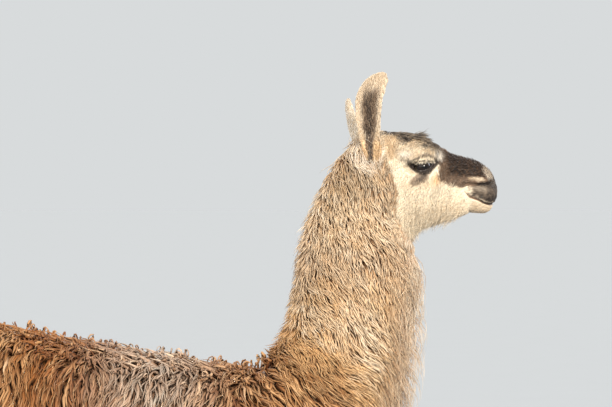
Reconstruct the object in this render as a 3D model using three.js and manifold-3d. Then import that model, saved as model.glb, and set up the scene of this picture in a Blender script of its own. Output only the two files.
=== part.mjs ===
// An adult llama standing square and alert, with its head up and its face to the front.
// Millimetres. +X is the way it faces, +Y its left side, +Z up, with the floor at z = 0.
// The outer surface is the surface of the coat: wool on the trunk and neck, short hair on face and legs.
import * as THREE from "three";
import { mergeVertices } from "three/addons/utils/BufferGeometryUtils.js";
import Module from "manifold-3d";

const wasm = await Module();
wasm.setup();

// ---------------------------------------------------------------- driving dimensions
const withersHeight = 1122;
const gap = 0.4; // between neighbouring pieces
const bodyAround = 24; // sides of the trunk, neck and head
const bodySteps = 2; // rings between two stations of the trunk, neck and head
const legAround = 10;
const beyondAll = 4000; // longer than the animal, for the solids that part it
const eye = { x: 343, y: 63, z: 1530, radius: 18.5 };
const lids = { out: 19, half: [19, 14, 10], slant: 0.12 }; // the opening in front of the eyeball
const nostril = { x: 475, y: 37, z: 1494, half: [15, 7, 3.4], slant: 0.06, turn: 0.42 };
const ear = { x: 238, y: 50, z: 1560, length: 172, thickness: 5 };
const toe = { length: 88, width: 40, height: 54, apart: 43, splay: 0.1, forward: 12, middle: 18, droop: 0.3 };
const nail = { length: 30, width: 22, height: 20, forward: 42, middle: 19, hook: 5 };
const kneeHeight = 428;
const hockHeight = 470;
const ankleHeight = 104;

// ---------------------------------------------------------------- solids
function solid(geometry) {
  const bare = geometry.clone();
  bare.deleteAttribute("normal");
  bare.deleteAttribute("uv");
  const merged = mergeVertices(bare, 1e-3);
  return new wasm.Manifold(
    new wasm.Mesh({
      numProp: 3,
      vertProperties: merged.attributes.position.array,
      triVerts: new Uint32Array(merged.index.array),
    }),
  );
}

// A cut can leave a crumb behind; the piece is the largest body.
function largest(manifold) {
  return manifold.decompose().reduce((a, b) => (a.volume() > b.volume() ? a : b));
}

function geometryOf(manifold) {
  const mesh = manifold.getMesh();
  return new THREE.BufferGeometry()
    .setAttribute("position", new THREE.BufferAttribute(mesh.vertProperties, 3))
    .setIndex(new THREE.BufferAttribute(mesh.triVerts, 1));
}

// A closed skin: a sphere's grid, with each point put where place(along, angle) says.
// along runs from 0 at the first pole to 1 at the last, and angle once round.
function formed(around, rings, place) {
  const geometry = new THREE.SphereGeometry(1, around, rings);
  const position = geometry.attributes.position;
  const at = new THREE.Vector3();
  const opposite = new THREE.Vector3();
  for (let i = 0; i < position.count; i++) {
    const row = Math.floor(i / (around + 1));
    const column = i % (around + 1);
    if (row === 0 || row === rings) {
      place(row / rings, 0, at); // a pole is one point, in the middle of its section
      place(row / rings, Math.PI, opposite);
      at.lerp(opposite, 0.5);
    } else {
      place(row / rings, (2 * Math.PI * (column % around)) / around, at);
    }
    position.setXYZ(i, at.x, at.y, at.z);
  }
  return geometry;
}

const power = (value, exponent) => Math.sign(value) * Math.abs(value) ** exponent;

function ellipsoid(half, around, rings) {
  return new THREE.SphereGeometry(1, around, rings).scale(...half);
}

// ---------------------------------------------------------------- trunk, neck and head
// Sections from the rump to the lips. Each row: a point on the top line (x, z), its partner on the
// bottom line (x, z), half the width, how high up the widest place is (0 to 1), and how full the
// section is above and below it (2 is an ellipse, less is leaner). z is from the withers' level.
const stations = [
  [-838, -140, -838, -140, 1, 0.5, 2, 2], // back of the rump
  [-826, -45, -818, -260, 92, 0.5, 2.1, 2.1],
  [-788, 14, -776, -330, 140, 0.52, 2.1, 2.1],
  [-700, 64, -700, -386, 186, 0.52, 2.15, 2.1],
  [-590, 84, -600, -420, 214, 0.5, 2.2, 2.1], // croup
  [-455, 54, -465, -452, 226, 0.48, 2.2, 2.15],
  [-300, 26, -315, -478, 230, 0.46, 2.2, 2.2],
  [-150, 4, -165, -492, 224, 0.46, 2.15, 2.2],
  [-58, -13, -20, -482, 210, 0.46, 2.1, 2.15],
  [0, 0, 115, -440, 194, 0.46, 2.05, 2.1], // withers
  [34, 36, 228, -352, 176, 0.48, 2, 2.05],
  [56, 86, 300, -226, 156, 0.5, 2, 2],
  [68, 142, 330, -96, 138, 0.5, 2, 2],
  [76, 198, 354, 24, 123, 0.5, 2, 2],
  [84, 258, 365, 138, 110, 0.5, 2, 2],
  [98, 312, 353, 196, 100, 0.5, 2, 2],
  [124, 364, 335, 230, 92, 0.5, 2, 2],
  [150, 418, 322, 250, 84, 0.52, 2, 1.95], // nape and throat
  [192, 470, 325, 258, 79, 0.56, 2.05, 1.85],
  [254, 487, 338, 268, 78, 0.58, 2.1, 1.8], // crown and angle of the jaw
  [304, 485, 354, 277, 80, 0.61, 2.1, 1.75],
  [340, 476, 372, 284, 76, 0.62, 2.05, 1.78], // eyes
  [372, 459, 392, 289, 64, 0.6, 2, 1.85],
  [402, 438, 412, 295, 54, 0.56, 2, 1.9], // bridge of the nose
  [430, 430, 434, 303, 46, 0.54, 2.05, 2],
  [454, 424, 450, 311, 41, 0.5, 2.15, 2.1], // in front of it the chin
  [475, 413, 470, 308, 38, 0.5, 2.2, 2.2],
  [491, 397, 488, 315, 35, 0.5, 2.2, 2.2], // nostrils
  [503, 376, 501, 335, 24, 0.5, 2.1, 2.1],
  [507, 358, 507, 356, 1, 0.5, 2, 2], // upper lip
];

// Swellings and hollows of the face, alike on both sides. Each row: the middle (x, and height above
// the withers' level), how far it reaches along x and z, and how far it stands out.
const faceForms = [
  [346, 430, 36, 13, 7], // brow
  [342, 407, 30, 18, 5], // round the eye
  [384, 398, 22, 15, -6], // tear hollow
  [352, 376, 46, 13, 4], // cheekbone
  [306, 330, 46, 42, 8], // jaw muscle
  [386, 336, 30, 22, -4], // in front of it
  [296, 456, 26, 18, -3], // temple
  [474, 386, 20, 12, 5], // wing of the nose
  [466, 355, 26, 11, 5], // upper lip
  [468, 317, 20, 9, 4], // chin
];

function faceSwelling(x, height) {
  return faceForms.reduce(
    (sum, [cx, cz, rx, rz, depth]) =>
      sum + depth * Math.exp(-(((x - cx) / rx) ** 2) - ((height - cz) / rz) ** 2),
    0,
  );
}

const topLine = new THREE.CatmullRomCurve3(
  stations.map(([x, z]) => new THREE.Vector3(x, 0, withersHeight + z)),
);
const bottomLine = new THREE.CatmullRomCurve3(
  stations.map(([, , x, z]) => new THREE.Vector3(x, 0, withersHeight + z)),
);
const girth = new THREE.CatmullRomCurve3(
  stations.map(([, , , , width, level, upper]) => new THREE.Vector3(width, level * 100, upper * 100)),
);
const lowerFullness = new THREE.CatmullRomCurve3(
  stations.map(([, , , , , , , lower], i) => new THREE.Vector3(i, lower * 100, 0)),
);

function bodyPoint(along, angle, at) {
  const top = topLine.getPoint(along);
  const bottom = bottomLine.getPoint(along);
  const { x: halfWidth, y: level, z: upper } = girth.getPoint(along);
  const up = Math.cos(angle);
  const fullness = up > 0 ? upper / 100 : lowerFullness.getPoint(along).y / 100;
  const height = level / 100 + (up > 0 ? 1 - level / 100 : level / 100) * power(up, 2 / fullness);
  at.lerpVectors(bottom, top, height);
  const side = Math.sin(angle);
  at.y = Math.max(halfWidth, 0) * power(side, 2 / fullness);
  at.y += faceSwelling(at.x, at.z - withersHeight) * power(side, 0.8);
}

const bodyRings = (stations.length - 1) * bodySteps;
const body = solid(formed(bodyAround, bodyRings, bodyPoint));

// ---------------------------------------------------------------- legs
// Rows from the top down: x and y of the centre, height, half sizes along x and y.
const foreLeg = [
  [205, 112, 905, 4, 4],
  [200, 116, 860, 84, 46],
  [190, 124, 770, 102, 60],
  [176, 124, 690, 84, 60],
  [168, 122, 610, 62, 50],
  [164, 120, 530, 48, 42],
  [163, 118, 455, 39, 37],
  [166, 116, 400, 39, 37], // knee
  [165, 115, 362, 36, 34],
  [161, 115, 318, 28, 27],
  [160, 116, 240, 24, 24], // cannon
  [160, 118, 170, 25, 26],
  [162, 119, 128, 31, 33], // fetlock
  [172, 120, 88, 30, 35],
  [182, 120, 52, 26, 33],
  [186, 120, 34, 4, 4],
];
const hindLeg = [
  [-640, 110, 1050, 4, 4],
  [-652, 118, 985, 104, 52],
  [-662, 134, 890, 142, 80],
  [-655, 138, 790, 140, 84],
  [-652, 134, 705, 114, 74],
  [-672, 128, 625, 84, 60],
  [-700, 122, 548, 58, 46],
  [-726, 118, 484, 42, 36],
  [-738, 116, 440, 38, 33], // hock
  [-737, 116, 396, 33, 31],
  [-730, 116, 345, 27, 27],
  [-722, 117, 250, 24, 24], // cannon
  [-716, 118, 175, 25, 26],
  [-710, 119, 128, 31, 33], // fetlock
  [-699, 120, 88, 30, 35],
  [-689, 120, 52, 26, 33],
  [-685, 120, 34, 4, 4],
];
const swingFrom = 800; // height above which a leg's step doesn't move it

// side is -1 on the right. step moves the foot forward, less and less towards the shoulder or hip.
// grow makes every section that much larger, for the pocket that the leg sits in.
function legShape(rows, side, step, grow = 0) {
  const sway = (z) => step * THREE.MathUtils.clamp(1 - z / swingFrom, 0, 1);
  const centre = new THREE.CatmullRomCurve3(
    rows.map(([x, y, z]) => new THREE.Vector3(x + sway(z), side * y, z)),
  );
  const radii = new THREE.CatmullRomCurve3(
    rows.map(([, , z, rx, ry]) => new THREE.Vector3(rx, ry, z)),
  );
  const rings = Math.round((rows.length - 1) * 1.25);
  return formed(legAround, rings, (along, angle, at) => {
    const middle = centre.getPoint(along);
    const radius = radii.getPoint(along);
    at.set(
      middle.x + (Math.max(radius.x, 0.5) + grow) * Math.cos(angle),
      middle.y + (Math.max(radius.y, 0.5) + grow) * Math.sin(angle),
      middle.z + (along === 0 ? grow : along === 1 ? -grow : 0),
    );
  });
}

// One toe, lying forward from the pastern, with a flat sole at z = 0.
function toePlace(geometry, foot, side) {
  geometry.rotateZ(side * toe.splay);
  geometry.translate(foot.x, foot.y + (side * toe.apart) / 2, 0);
  return geometry;
}

function toeShape(foot, side) {
  const geometry = new THREE.SphereGeometry(1, 8, 5);
  geometry.rotateX(Math.PI / 2);
  const position = geometry.attributes.position;
  for (let i = 0; i < position.count; i++) {
    const forward = position.getX(i);
    const lean = 1 - toe.droop * Math.max(forward, 0); // lower towards the nail
    position.setXYZ(
      i,
      toe.forward + (forward * toe.length) / 2,
      (power(position.getY(i), 0.85) * toe.width) / 2,
      toe.middle + ((power(position.getZ(i), 0.85) * toe.height) / 2) * lean,
    );
  }
  return toePlace(geometry, foot, side);
}

function nailShape(foot, side, grow = 0) {
  const geometry = new THREE.SphereGeometry(1, 6, 4);
  const position = geometry.attributes.position;
  for (let i = 0; i < position.count; i++) {
    const forward = position.getX(i);
    const hook = nail.hook * Math.max(forward, 0) ** 2;
    position.setXYZ(
      i,
      nail.forward + (forward * nail.length) / 2 + grow * Math.sign(forward),
      (position.getY(i) * (nail.width + 2 * grow)) / 2,
      nail.middle - hook + (position.getZ(i) * (nail.height + 2 * grow)) / 2,
    );
  }
  return toePlace(geometry, foot, side);
}

// Everything below a level.
function below(z, shift = 0) {
  const box = new THREE.BoxGeometry(beyondAll, beyondAll, beyondAll);
  return solid(box.translate(0, 0, z + shift - beyondAll / 2));
}

const floorCut = below(0);

// ---------------------------------------------------------------- tail
const tailRows = [
  [-790, 1128, 8],
  [-812, 1112, 40],
  [-838, 1068, 52],
  [-852, 1010, 56],
  [-856, 950, 54],
  [-853, 890, 46],
  [-848, 840, 30],
  [-845, 812, 3],
];

function tailShape(grow = 0) {
  const centre = new THREE.CatmullRomCurve3(tailRows.map(([x, z]) => new THREE.Vector3(x, 0, z)));
  const radii = new THREE.CatmullRomCurve3(
    tailRows.map(([, , radius], i) => new THREE.Vector3(radius, i * 60, 0)),
  );
  return formed(10, 10, (along, angle, at) => {
    const radius = Math.max(radii.getPoint(along).x, 1) + grow;
    const middle = centre.getPoint(along);
    at.set(
      middle.x + radius * Math.cos(angle) * 0.8,
      middle.y + radius * Math.sin(angle),
      middle.z + (along === 0 ? grow : 0),
    );
  });
}

// ---------------------------------------------------------------- ears
// Rows from the root to the tip: how far forward and up the middle of the ear is, half its width
// and how deep it is cupped, each as a share of the ear's length, and how far it is hollowed out.
const earRows = [
  [0.01, -0.16, 0.02, 0.02, 0],
  [-0.01, -0.08, 0.085, 0.09, 0],
  [-0.035, 0.04, 0.105, 0.11, 0.1],
  [-0.05, 0.17, 0.122, 0.112, 0.75],
  [-0.062, 0.34, 0.146, 0.105, 1],
  [-0.066, 0.52, 0.16, 0.1, 1],
  [-0.056, 0.667, 0.168, 0.092, 1],
  [-0.016, 0.79, 0.166, 0.078, 1],
  [0.046, 0.905, 0.14, 0.058, 1],
  [0.092, 0.97, 0.088, 0.03, 1],
  [0.112, 1, 0.012, 0.008, 0],
];

// The right ear, upright at the origin, with its hollow towards -Y.
function earShape(grow = 0) {
  const middleLine = new THREE.CatmullRomCurve3(
    earRows.map(([x, z]) => new THREE.Vector3(x * ear.length, 0, z * ear.length)),
  );
  const sizes = new THREE.CatmullRomCurve3(
    earRows.map(([, , width, depth, hollow]) =>
      new THREE.Vector3(width * ear.length, depth * ear.length, hollow * ear.length),
    ),
  );
  return formed(12, 12, (along, angle, at) => {
    const middle = middleLine.getPoint(along);
    const size = sizes.getPoint(along);
    const hollow = THREE.MathUtils.clamp(size.z / ear.length, 0, 1);
    const bulge = Math.abs(Math.sin(angle));
    const back = (size.y + grow) * bulge;
    const cupped = size.y * bulge - ear.thickness * Math.min(1, bulge * 1.6) - 2 * grow;
    const front = THREE.MathUtils.lerp(-back, cupped, hollow);
    at.set(
      middle.x - (Math.max(size.x, 0.5) + grow) * Math.cos(angle),
      (Math.sin(angle) >= 0 ? back : front) - size.y * 0.4,
      middle.z + (along === 0 ? -grow : 0),
    );
  });
}

// turn: about the ear's own length. lean: out from the head. rake: backwards.
// back: how much further back the root is.
function earPlace(geometry, { side, turn, lean, rake, back }) {
  if (side > 0) {
    geometry.scale(1, -1, 1);
    const index = geometry.index.array;
    for (let i = 0; i < index.length; i += 3) {
      const kept = index[i + 1];
      index[i + 1] = index[i + 2];
      index[i + 2] = kept;
    }
  }
  geometry.rotateZ(side * turn);
  geometry.rotateX(side * -lean);
  geometry.rotateY(-rake);
  geometry.translate(ear.x - back, side * ear.y, ear.z);
  return geometry;
}

const earPose = {
  right: { side: -1, turn: -0.1, lean: 0.05, rake: 0, back: 0 },
  left: { side: 1, turn: -1.3, lean: 0.88, rake: 0.37, back: 13 },
};

// ---------------------------------------------------------------- face
const mouth = {
  rows: [
    [440, 353], // corner, x and height above the withers' level
    [449, 343],
    [463, 337],
    [479, 331],
    [493, 327],
  ],
  front: [504, 329],
  grooveRadius: 2,
};

// The point of the head's right side at a given x and z.
function faceY(x, z) {
  const at = new THREE.Vector3();
  let best = 0;
  let nearest = Infinity;
  for (let along = 0.6; along <= 1; along += 0.004) {
    for (let angle = Math.PI; angle < 2 * Math.PI; angle += 0.04) {
      bodyPoint(along, angle, at);
      const away = Math.hypot(at.x - x, at.z - z);
      if (away < nearest) {
        nearest = away;
        best = at.y;
      }
    }
  }
  return best;
}

function mouthGroove() {
  const right = mouth.rows.map(
    ([x, z]) => new THREE.Vector3(x, faceY(x, withersHeight + z), withersHeight + z),
  );
  const left = right.map((p) => new THREE.Vector3(p.x, -p.y, p.z)).reverse();
  const front = new THREE.Vector3(mouth.front[0], 0, withersHeight + mouth.front[1]);
  const path = new THREE.CatmullRomCurve3([...right, front, ...left]);
  const round = new THREE.Shape().absarc(0, 0, mouth.grooveRadius, 0, 2 * Math.PI);
  return solid(
    new THREE.ExtrudeGeometry(round, {
      steps: 16,
      curveSegments: 2,
      bevelEnabled: false,
      extrudePath: path,
    }),
  );
}

function eyeBall(side, grow = 0) {
  const radius = eye.radius + grow;
  return solid(ellipsoid([radius, radius, radius], 10, 8).translate(eye.x, side * eye.y, eye.z));
}

function headDetail(head) {
  let made = head;
  for (const side of [-1, 1]) {
    const opening = ellipsoid(lids.half, 12, 5).rotateY(lids.slant);
    opening.translate(eye.x, side * (eye.y + lids.out), eye.z);
    const hole = ellipsoid(nostril.half, 8, 5).rotateY(nostril.slant);
    hole.rotateZ(-side * nostril.turn);
    hole.translate(nostril.x, side * nostril.y, nostril.z);
    made = made.subtract(eyeBall(side, gap)).subtract(solid(opening)).subtract(solid(hole));
  }
  return made.subtract(mouthGroove());
}

// ---------------------------------------------------------------- parting
// Everything on the far side of a slanting cut across the body, seen from the side.
// The cut runs from a, on the top line, to b, on the bottom line, and what is in front of it is kept.
function beyond(a, b, shift) {
  const angle = Math.atan2(b[1] - a[1], b[0] - a[0]);
  const box = new THREE.BoxGeometry(beyondAll, beyondAll, beyondAll);
  box.translate(0, 0, beyondAll / 2 + shift);
  box.rotateY(-angle);
  box.translate((a[0] + b[0]) / 2, 0, (a[1] + b[1]) / 2);
  return solid(box);
}

const throatCut = [
  [156, withersHeight + 426],
  [322, withersHeight + 258],
];
const shoulderCut = [
  [-12, withersHeight + 2],
  [345, withersHeight - 150],
];

// ---------------------------------------------------------------- the animal
const wool = (color) => new THREE.MeshStandardMaterial({ color, roughness: 1, metalness: 0 });
const finish = {
  face: wool("#e6d3b4"),
  neck: wool("#bfa07a"),
  trunk: wool("#8d5f3c"),
  leg: wool("#cdb491"),
  foot: wool("#b79b78"),
  ear: wool("#cfc0a6"),
  tail: wool("#9c6f49"),
  eye: new THREE.MeshStandardMaterial({ color: "#120c09", roughness: 0.05, metalness: 0 }),
  nail: new THREE.MeshStandardMaterial({ color: "#4a4038", roughness: 0.5, metalness: 0 }),
};

const llama = new THREE.Group();

function addNode(name, manifold, material) {
  const mesh = new THREE.Mesh(geometryOf(largest(manifold)), material);
  mesh.name = name;
  llama.add(mesh);
}

const legs = [
  { name: "front_right", rows: foreLeg, side: -1, step: 26, knee: kneeHeight },
  { name: "front_left", rows: foreLeg, side: 1, step: -44, knee: kneeHeight },
  { name: "hind_right", rows: hindLeg, side: -1, step: -22, knee: hockHeight },
  { name: "hind_left", rows: hindLeg, side: 1, step: 62, knee: hockHeight },
];

let trunk = body.subtract(beyond(...shoulderCut, -gap / 2));
trunk = trunk.subtract(solid(tailShape(gap)));

for (const { name, rows, side, step, knee } of legs) {
  const [x, y, z] = rows[rows.length - 2]; // the pastern's foot
  const foot = { x: x + step * (1 - z / swingFrom), y: side * y };
  let leg = solid(legShape(rows, side, step));
  for (const toeSide of [-1, 1]) leg = leg.add(solid(toeShape(foot, toeSide)));
  leg = leg.subtract(floorCut);
  [-1, 1].forEach((toeSide, i) => {
    const horn = solid(nailShape(foot, toeSide)).subtract(floorCut);
    leg = leg.subtract(solid(nailShape(foot, toeSide, gap)));
    addNode(`nail_${name}_${i + 1}`, horn, finish.nail);
  });
  trunk = trunk.subtract(solid(legShape(rows, side, step, gap)));
  const shank = leg.intersect(below(knee, -gap / 2)).subtract(below(ankleHeight, gap / 2));
  addNode(`leg_${name}_upper`, leg.subtract(below(knee, gap / 2)), finish.leg);
  addNode(`leg_${name}_lower`, shank, finish.leg);
  addNode(`foot_${name}`, leg.intersect(below(ankleHeight, -gap / 2)), finish.foot);
}

addNode("trunk", trunk, finish.trunk);
addNode("tail", solid(tailShape()), finish.tail);

const neck = body.intersect(beyond(...shoulderCut, gap / 2)).subtract(beyond(...throatCut, -gap / 2));
addNode("neck", neck, finish.neck);

let head = headDetail(body).intersect(beyond(...throatCut, gap / 2));
for (const [name, pose] of Object.entries(earPose)) {
  head = head.subtract(solid(earPlace(earShape(gap), pose)));
  addNode(`ear_${name}`, solid(earPlace(earShape(), pose)), finish.ear);
  addNode(`eye_${name}`, eyeBall(pose.side), finish.eye);
}
addNode("head", head, finish.face);

// The origin is under the middle of the animal, on the floor.
const reach = new THREE.Box3().setFromObject(llama);
llama.children.forEach((mesh) => {
  mesh.position.set(-(reach.min.x + reach.max.x) / 2, -(reach.min.y + reach.max.y) / 2, 0);
});

export default llama;
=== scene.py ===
import math
import time
from types import SimpleNamespace

import bmesh
import bpy
import numpy as np
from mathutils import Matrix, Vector
from mathutils.bvhtree import BVHTree
from mathutils.kdtree import KDTree


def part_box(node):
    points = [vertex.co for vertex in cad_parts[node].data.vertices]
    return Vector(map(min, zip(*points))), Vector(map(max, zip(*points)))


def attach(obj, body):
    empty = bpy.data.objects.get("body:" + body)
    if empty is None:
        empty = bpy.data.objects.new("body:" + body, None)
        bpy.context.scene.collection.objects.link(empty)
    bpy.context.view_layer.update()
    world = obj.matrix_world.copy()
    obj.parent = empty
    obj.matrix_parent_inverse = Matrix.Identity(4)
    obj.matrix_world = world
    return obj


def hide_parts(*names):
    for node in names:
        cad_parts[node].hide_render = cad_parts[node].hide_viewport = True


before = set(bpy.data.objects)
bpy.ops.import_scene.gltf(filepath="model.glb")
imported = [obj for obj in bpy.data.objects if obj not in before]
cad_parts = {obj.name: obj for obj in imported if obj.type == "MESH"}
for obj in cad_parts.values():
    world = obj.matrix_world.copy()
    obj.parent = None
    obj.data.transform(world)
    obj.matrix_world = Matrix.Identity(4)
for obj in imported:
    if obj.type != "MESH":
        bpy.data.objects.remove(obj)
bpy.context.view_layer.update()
startTime = time.time()


def report(stage):
    print(f"{time.time() - startTime:6.1f} s  {stage}")


# Places come from the frame: millimetres forward of, left of and above the line through both eyes.
sides = {"right": -1, "left": 1}
eyeBoxes = {side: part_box(f"eye_{side}") for side in sides}
eyeCentre = {side: (low + high) / 2 for side, (low, high) in eyeBoxes.items()}
eyeRadius = (eyeBoxes["right"][1] - eyeBoxes["right"][0]).x * 1000 / 2
eyeAside = eyeCentre["left"].y * 1000
eyeDatum = np.array([eyeCentre["right"].x, 0, eyeCentre["right"].z])


def fromEye(points):
    return (points - eyeDatum) * 1000


def ramp(low, high, value):  # 0 at low, 1 at high, smooth between, also with low above high
    t = np.clip((value - low) / (high - low), 0, 1)
    return t * t * (3 - 2 * t)


def bump(value, middle, width):
    return np.exp(-(((value - middle) / width) ** 2))


def heightOf(line, u):  # of a line drawn on the side of the head
    return np.interp(u, *np.array(line).T)


def turned(u, v, middle, degrees):  # places along and across an axis that is turned about the middle
    turn = math.radians(degrees)
    u, v = u - middle[0], v - middle[1]
    return u * math.cos(turn) + v * math.sin(turn), v * math.cos(turn) - u * math.sin(turn)


def waves(points, size, seed, count=7):  # smooth noise of about -1 to 1, with its size in metres
    rng = np.random.default_rng(seed)
    aim = rng.normal(size=(count, 3))
    aim *= (rng.uniform(0.6, 1.5, count) / np.linalg.norm(aim, axis=1))[:, None]
    turn = rng.uniform(0, 2 * math.pi, count)
    return np.sin(points @ aim.T * (2 * math.pi / size) + turn).sum(1) / count**0.5


def unit(vectors):
    return vectors / np.maximum(np.linalg.norm(vectors, axis=1), 1e-9)[:, None]


def alongHead(p):  # 0 on the line where the neck ends, from nape to throat, rising to the nose
    return (p[:, 0] + 187) * 0.711 + (p[:, 2] - 18) * 0.703


cheekEdge = [  # long wool starts behind this line; height, then place
    (-215, 220), (-178, 60), (-160, 0), (-150, -24), (-130, -40),
    (-100, -57), (-51, -53), (11, -76), (62, -97),
]


def behindCheek(p):  # millimetres behind the edge of the cheek
    return heightOf(cheekEdge, p[:, 2]) - p[:, 0]


# The skin: one surface under all the flesh, made from the solids, in by the coat's depth
skinPlan = {
    "voxel": 0.004,
    "bodyEdge": 0.013,  # size of the faces under the long coat
    "swell": {"head": 0.0008, "foot": 0.0008, "": 0.004},  # closes the cuts between the solids
    "smoothFace": 16,
    "smoothBody": 30,
    "steps": 6,  # the way in is shared out over these
    "deepest": 0.2,  # of the body's thickness
    "earRoot": 0.022,  # how far an ear goes down into the head
    "earMound": 0.006,  # the head rises round it to this much under the crown
}
coatDepths = {  # millimetres of coat over the skin
    "body": 30.0, "neck": 24, "upperLeg": 20, "lowerLeg": 6, "foot": 2.2, "behindCheek": 10,
    "throat": 16,  # more than on the neck, thin and hanging
    "face": 2.4, "nose": 1.3,  # less than on the face
    "crown": 4,  # more than on the face
}
apart = ("eye_", "nail_", "ear_")
fleshNodes = sorted(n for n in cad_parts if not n.startswith(apart))


def coatDepth(points, normals):
    p, floorHeight = fromEye(points), points[:, 2] * 1000
    u, v, behind = p[:, 0], p[:, 2], behindCheek(p)
    neck = ramp(-330, -230, v) * ramp(-340, -250, u)
    throat = ramp(0.3, 0.9, normals[:, 0]) * ramp(-140, -90, u)
    throat *= ramp(-660, -560, v) * ramp(-175, -290, v)
    crown = ramp(-90, -40, u) * ramp(60, 25, u) * ramp(28, 60, v)
    depth = np.full(len(p), coatDepths["body"])
    depth += (coatDepths["neck"] - depth) * neck
    depth += coatDepths["throat"] * throat
    for part, start, end in (("upperLeg", 690, 560), ("lowerLeg", 560, 440), ("foot", 200, 90)):
        depth += (coatDepths[part] - depth) * ramp(start, end, floorHeight)
    depth += (coatDepths["behindCheek"] - depth) * ramp(90, 30, behind)
    face = coatDepths["face"] - coatDepths["nose"] * ramp(60, 115, u) + coatDepths["crown"] * crown
    return depth + (face - depth) * ramp(22, -6, behind)


def arrayOf(items, name, width=3, kind=float):
    found = np.empty(len(items) * width, kind)
    items.foreach_get(name, found)
    return found.reshape(-1, width)


def arraysOf(mesh):
    return arrayOf(mesh.vertices, "co"), arrayOf(mesh.edges, "vertices", 2, np.int32)


def normalsOf(mesh):
    return arrayOf(mesh.vertices, "normal")


def setPlaces(mesh, co):
    mesh.vertices.foreach_set("co", co.ravel())
    mesh.update()


def treeOf(piece):
    return BVHTree.FromObject(piece, bpy.context.evaluated_depsgraph_get())


def smoothed(values, edges, times, share):
    count = len(values)
    a, b = edges.T
    degree = np.maximum(np.bincount(a, minlength=count) + np.bincount(b, minlength=count), 1)
    share = np.broadcast_to(share, count)[:, None]
    values = values.reshape(count, -1)
    for _ in range(times):
        total = [np.bincount(a, v[b], count) + np.bincount(b, v[a], count) for v in values.T]
        values = values + share * (np.stack(total, 1) / degree[:, None] - values)
    return values


def meshOf(name, bm):
    mesh = bpy.data.meshes.new(name)
    bm.to_mesh(mesh)
    bm.free()
    return mesh


def weldedNode(node, swell):
    bm = bmesh.new()
    bm.from_mesh(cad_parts[node].data)
    bmesh.ops.remove_doubles(bm, verts=bm.verts, dist=1e-6)
    bm.normal_update()
    for v in bm.verts:
        v.co += v.normal * swell
    return meshOf(node + "_copy", bm)


def joined(meshes, name):
    bm = bmesh.new()
    for mesh in meshes:
        bm.from_mesh(mesh)
    return meshOf(name, bm)


def objectFor(name, mesh):
    piece = bpy.data.objects.new(name, mesh)
    bpy.context.scene.collection.objects.link(piece)
    return piece


def applyModifier(piece, kind, **settings):
    modifier = piece.modifiers.new(kind, kind)
    for key, value in settings.items():
        setattr(modifier, key, value)
    depsgraph = bpy.context.evaluated_depsgraph_get()
    mesh = bpy.data.meshes.new_from_object(piece.evaluated_get(depsgraph))
    piece.modifiers.remove(modifier)
    piece.data = mesh


def thinning(piece):  # fewer faces under the long coat, all of them on head, ears and feet
    co = arraysOf(piece.data)[0]
    keep = np.maximum(ramp(-60, -20, alongHead(fromEye(co))), ramp(0.14, 0.11, co[:, 2]))
    group = piece.vertex_groups.new(name="body")
    for index in np.flatnonzero(keep < 0.5):
        group.add([int(index)], 1, "REPLACE")
    body = (keep < 0.5).mean()
    ratio = 1 - body + body * (skinPlan["voxel"] / skinPlan["bodyEdge"]) ** 2
    applyModifier(piece, "DECIMATE", ratio=ratio, vertex_group="body")
    piece.vertex_groups.clear()


def throughBody(piece, co, normals):  # millimetres to the far side, straight in from each point
    tree = treeOf(piece)
    found = np.empty(len(co))
    for k, (place, normal) in enumerate(zip(co, normals)):
        inwards = Vector(-normal)
        distance = tree.ray_cast(Vector(place) + inwards * 0.001, inwards)[3]
        found[k] = 1000 * (distance or 0.001)
    return found


def bodyShare(co):  # 1 under the long coat, 0 on head and feet
    return (1 - ramp(-60, -20, alongHead(fromEye(co)))) * (1 - ramp(0.16, 0.1, co[:, 2]))


def fleshBody():  # the skin without ears, its places, and the coat's height over each in millimetres
    meshes = []
    for node in fleshNodes:
        swell = next(size for start, size in skinPlan["swell"].items() if node.startswith(start))
        meshes.append(weldedNode(node, swell))
    meshes += [weldedNode(f"eye_{side}", 0) for side in sides]
    meshes += [earRoot(side) for side in sides]
    piece = objectFor("skin", joined(meshes, "skin"))
    applyModifier(piece, "REMESH", mode="VOXEL", voxel_size=skinPlan["voxel"], adaptivity=0)
    co, edges = arraysOf(piece.data)
    feet = ramp(0.12, 0.06, co[:, 2])
    setPlaces(piece.data, smoothed(co, edges, skinPlan["smoothFace"], 0.5 * (1 - 0.9 * feet)))
    thinning(piece)
    outline, edges = arraysOf(piece.data)
    body = bodyShare(outline)
    setPlaces(piece.data, smoothed(outline, edges, skinPlan["smoothBody"], 0.5 * body))
    co, normals = arraysOf(piece.data)[0], normalsOf(piece.data)
    depth = np.minimum(coatDepth(co, normals), throughBody(piece, co, normals) * skinPlan["deepest"])
    depth = smoothed(depth, edges, 12, 0.5 * body)[:, 0]
    for _ in range(skinPlan["steps"]):
        co = arraysOf(piece.data)[0]
        co -= normalsOf(piece.data) * (depth / 1000 / skinPlan["steps"])[:, None]
        setPlaces(piece.data, smoothed(co, edges, 4, 0.5 * body + 0.05 * (1 - body)))
    co = arraysOf(piece.data)[0]
    height = ((outline - co) * normalsOf(piece.data)).sum(1) * 1000
    return piece, co, smoothed(height, edges, 3, 0.5)[:, 0]


def earFacts(side):  # its mesh, which points are its root, and the way down through it
    mesh = weldedNode(f"ear_{side}", 0.0005)
    head = treeOf(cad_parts["head"])
    co = arraysOf(mesh)[0]
    root = np.array([head.find_nearest(Vector(place))[3] < 0.004 for place in co])
    down = co[root].mean(0) - co[~root].mean(0)
    return mesh, co, root, down / np.linalg.norm(down)


def earRoot(side):  # the mound that an ear grows from
    mesh, co, root, down = earFacts(side)
    below = co @ down
    top = below[root].min() + skinPlan["earMound"]
    co += down * np.maximum(top - below, 0)[:, None]
    setPlaces(mesh, co)
    return mesh


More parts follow.
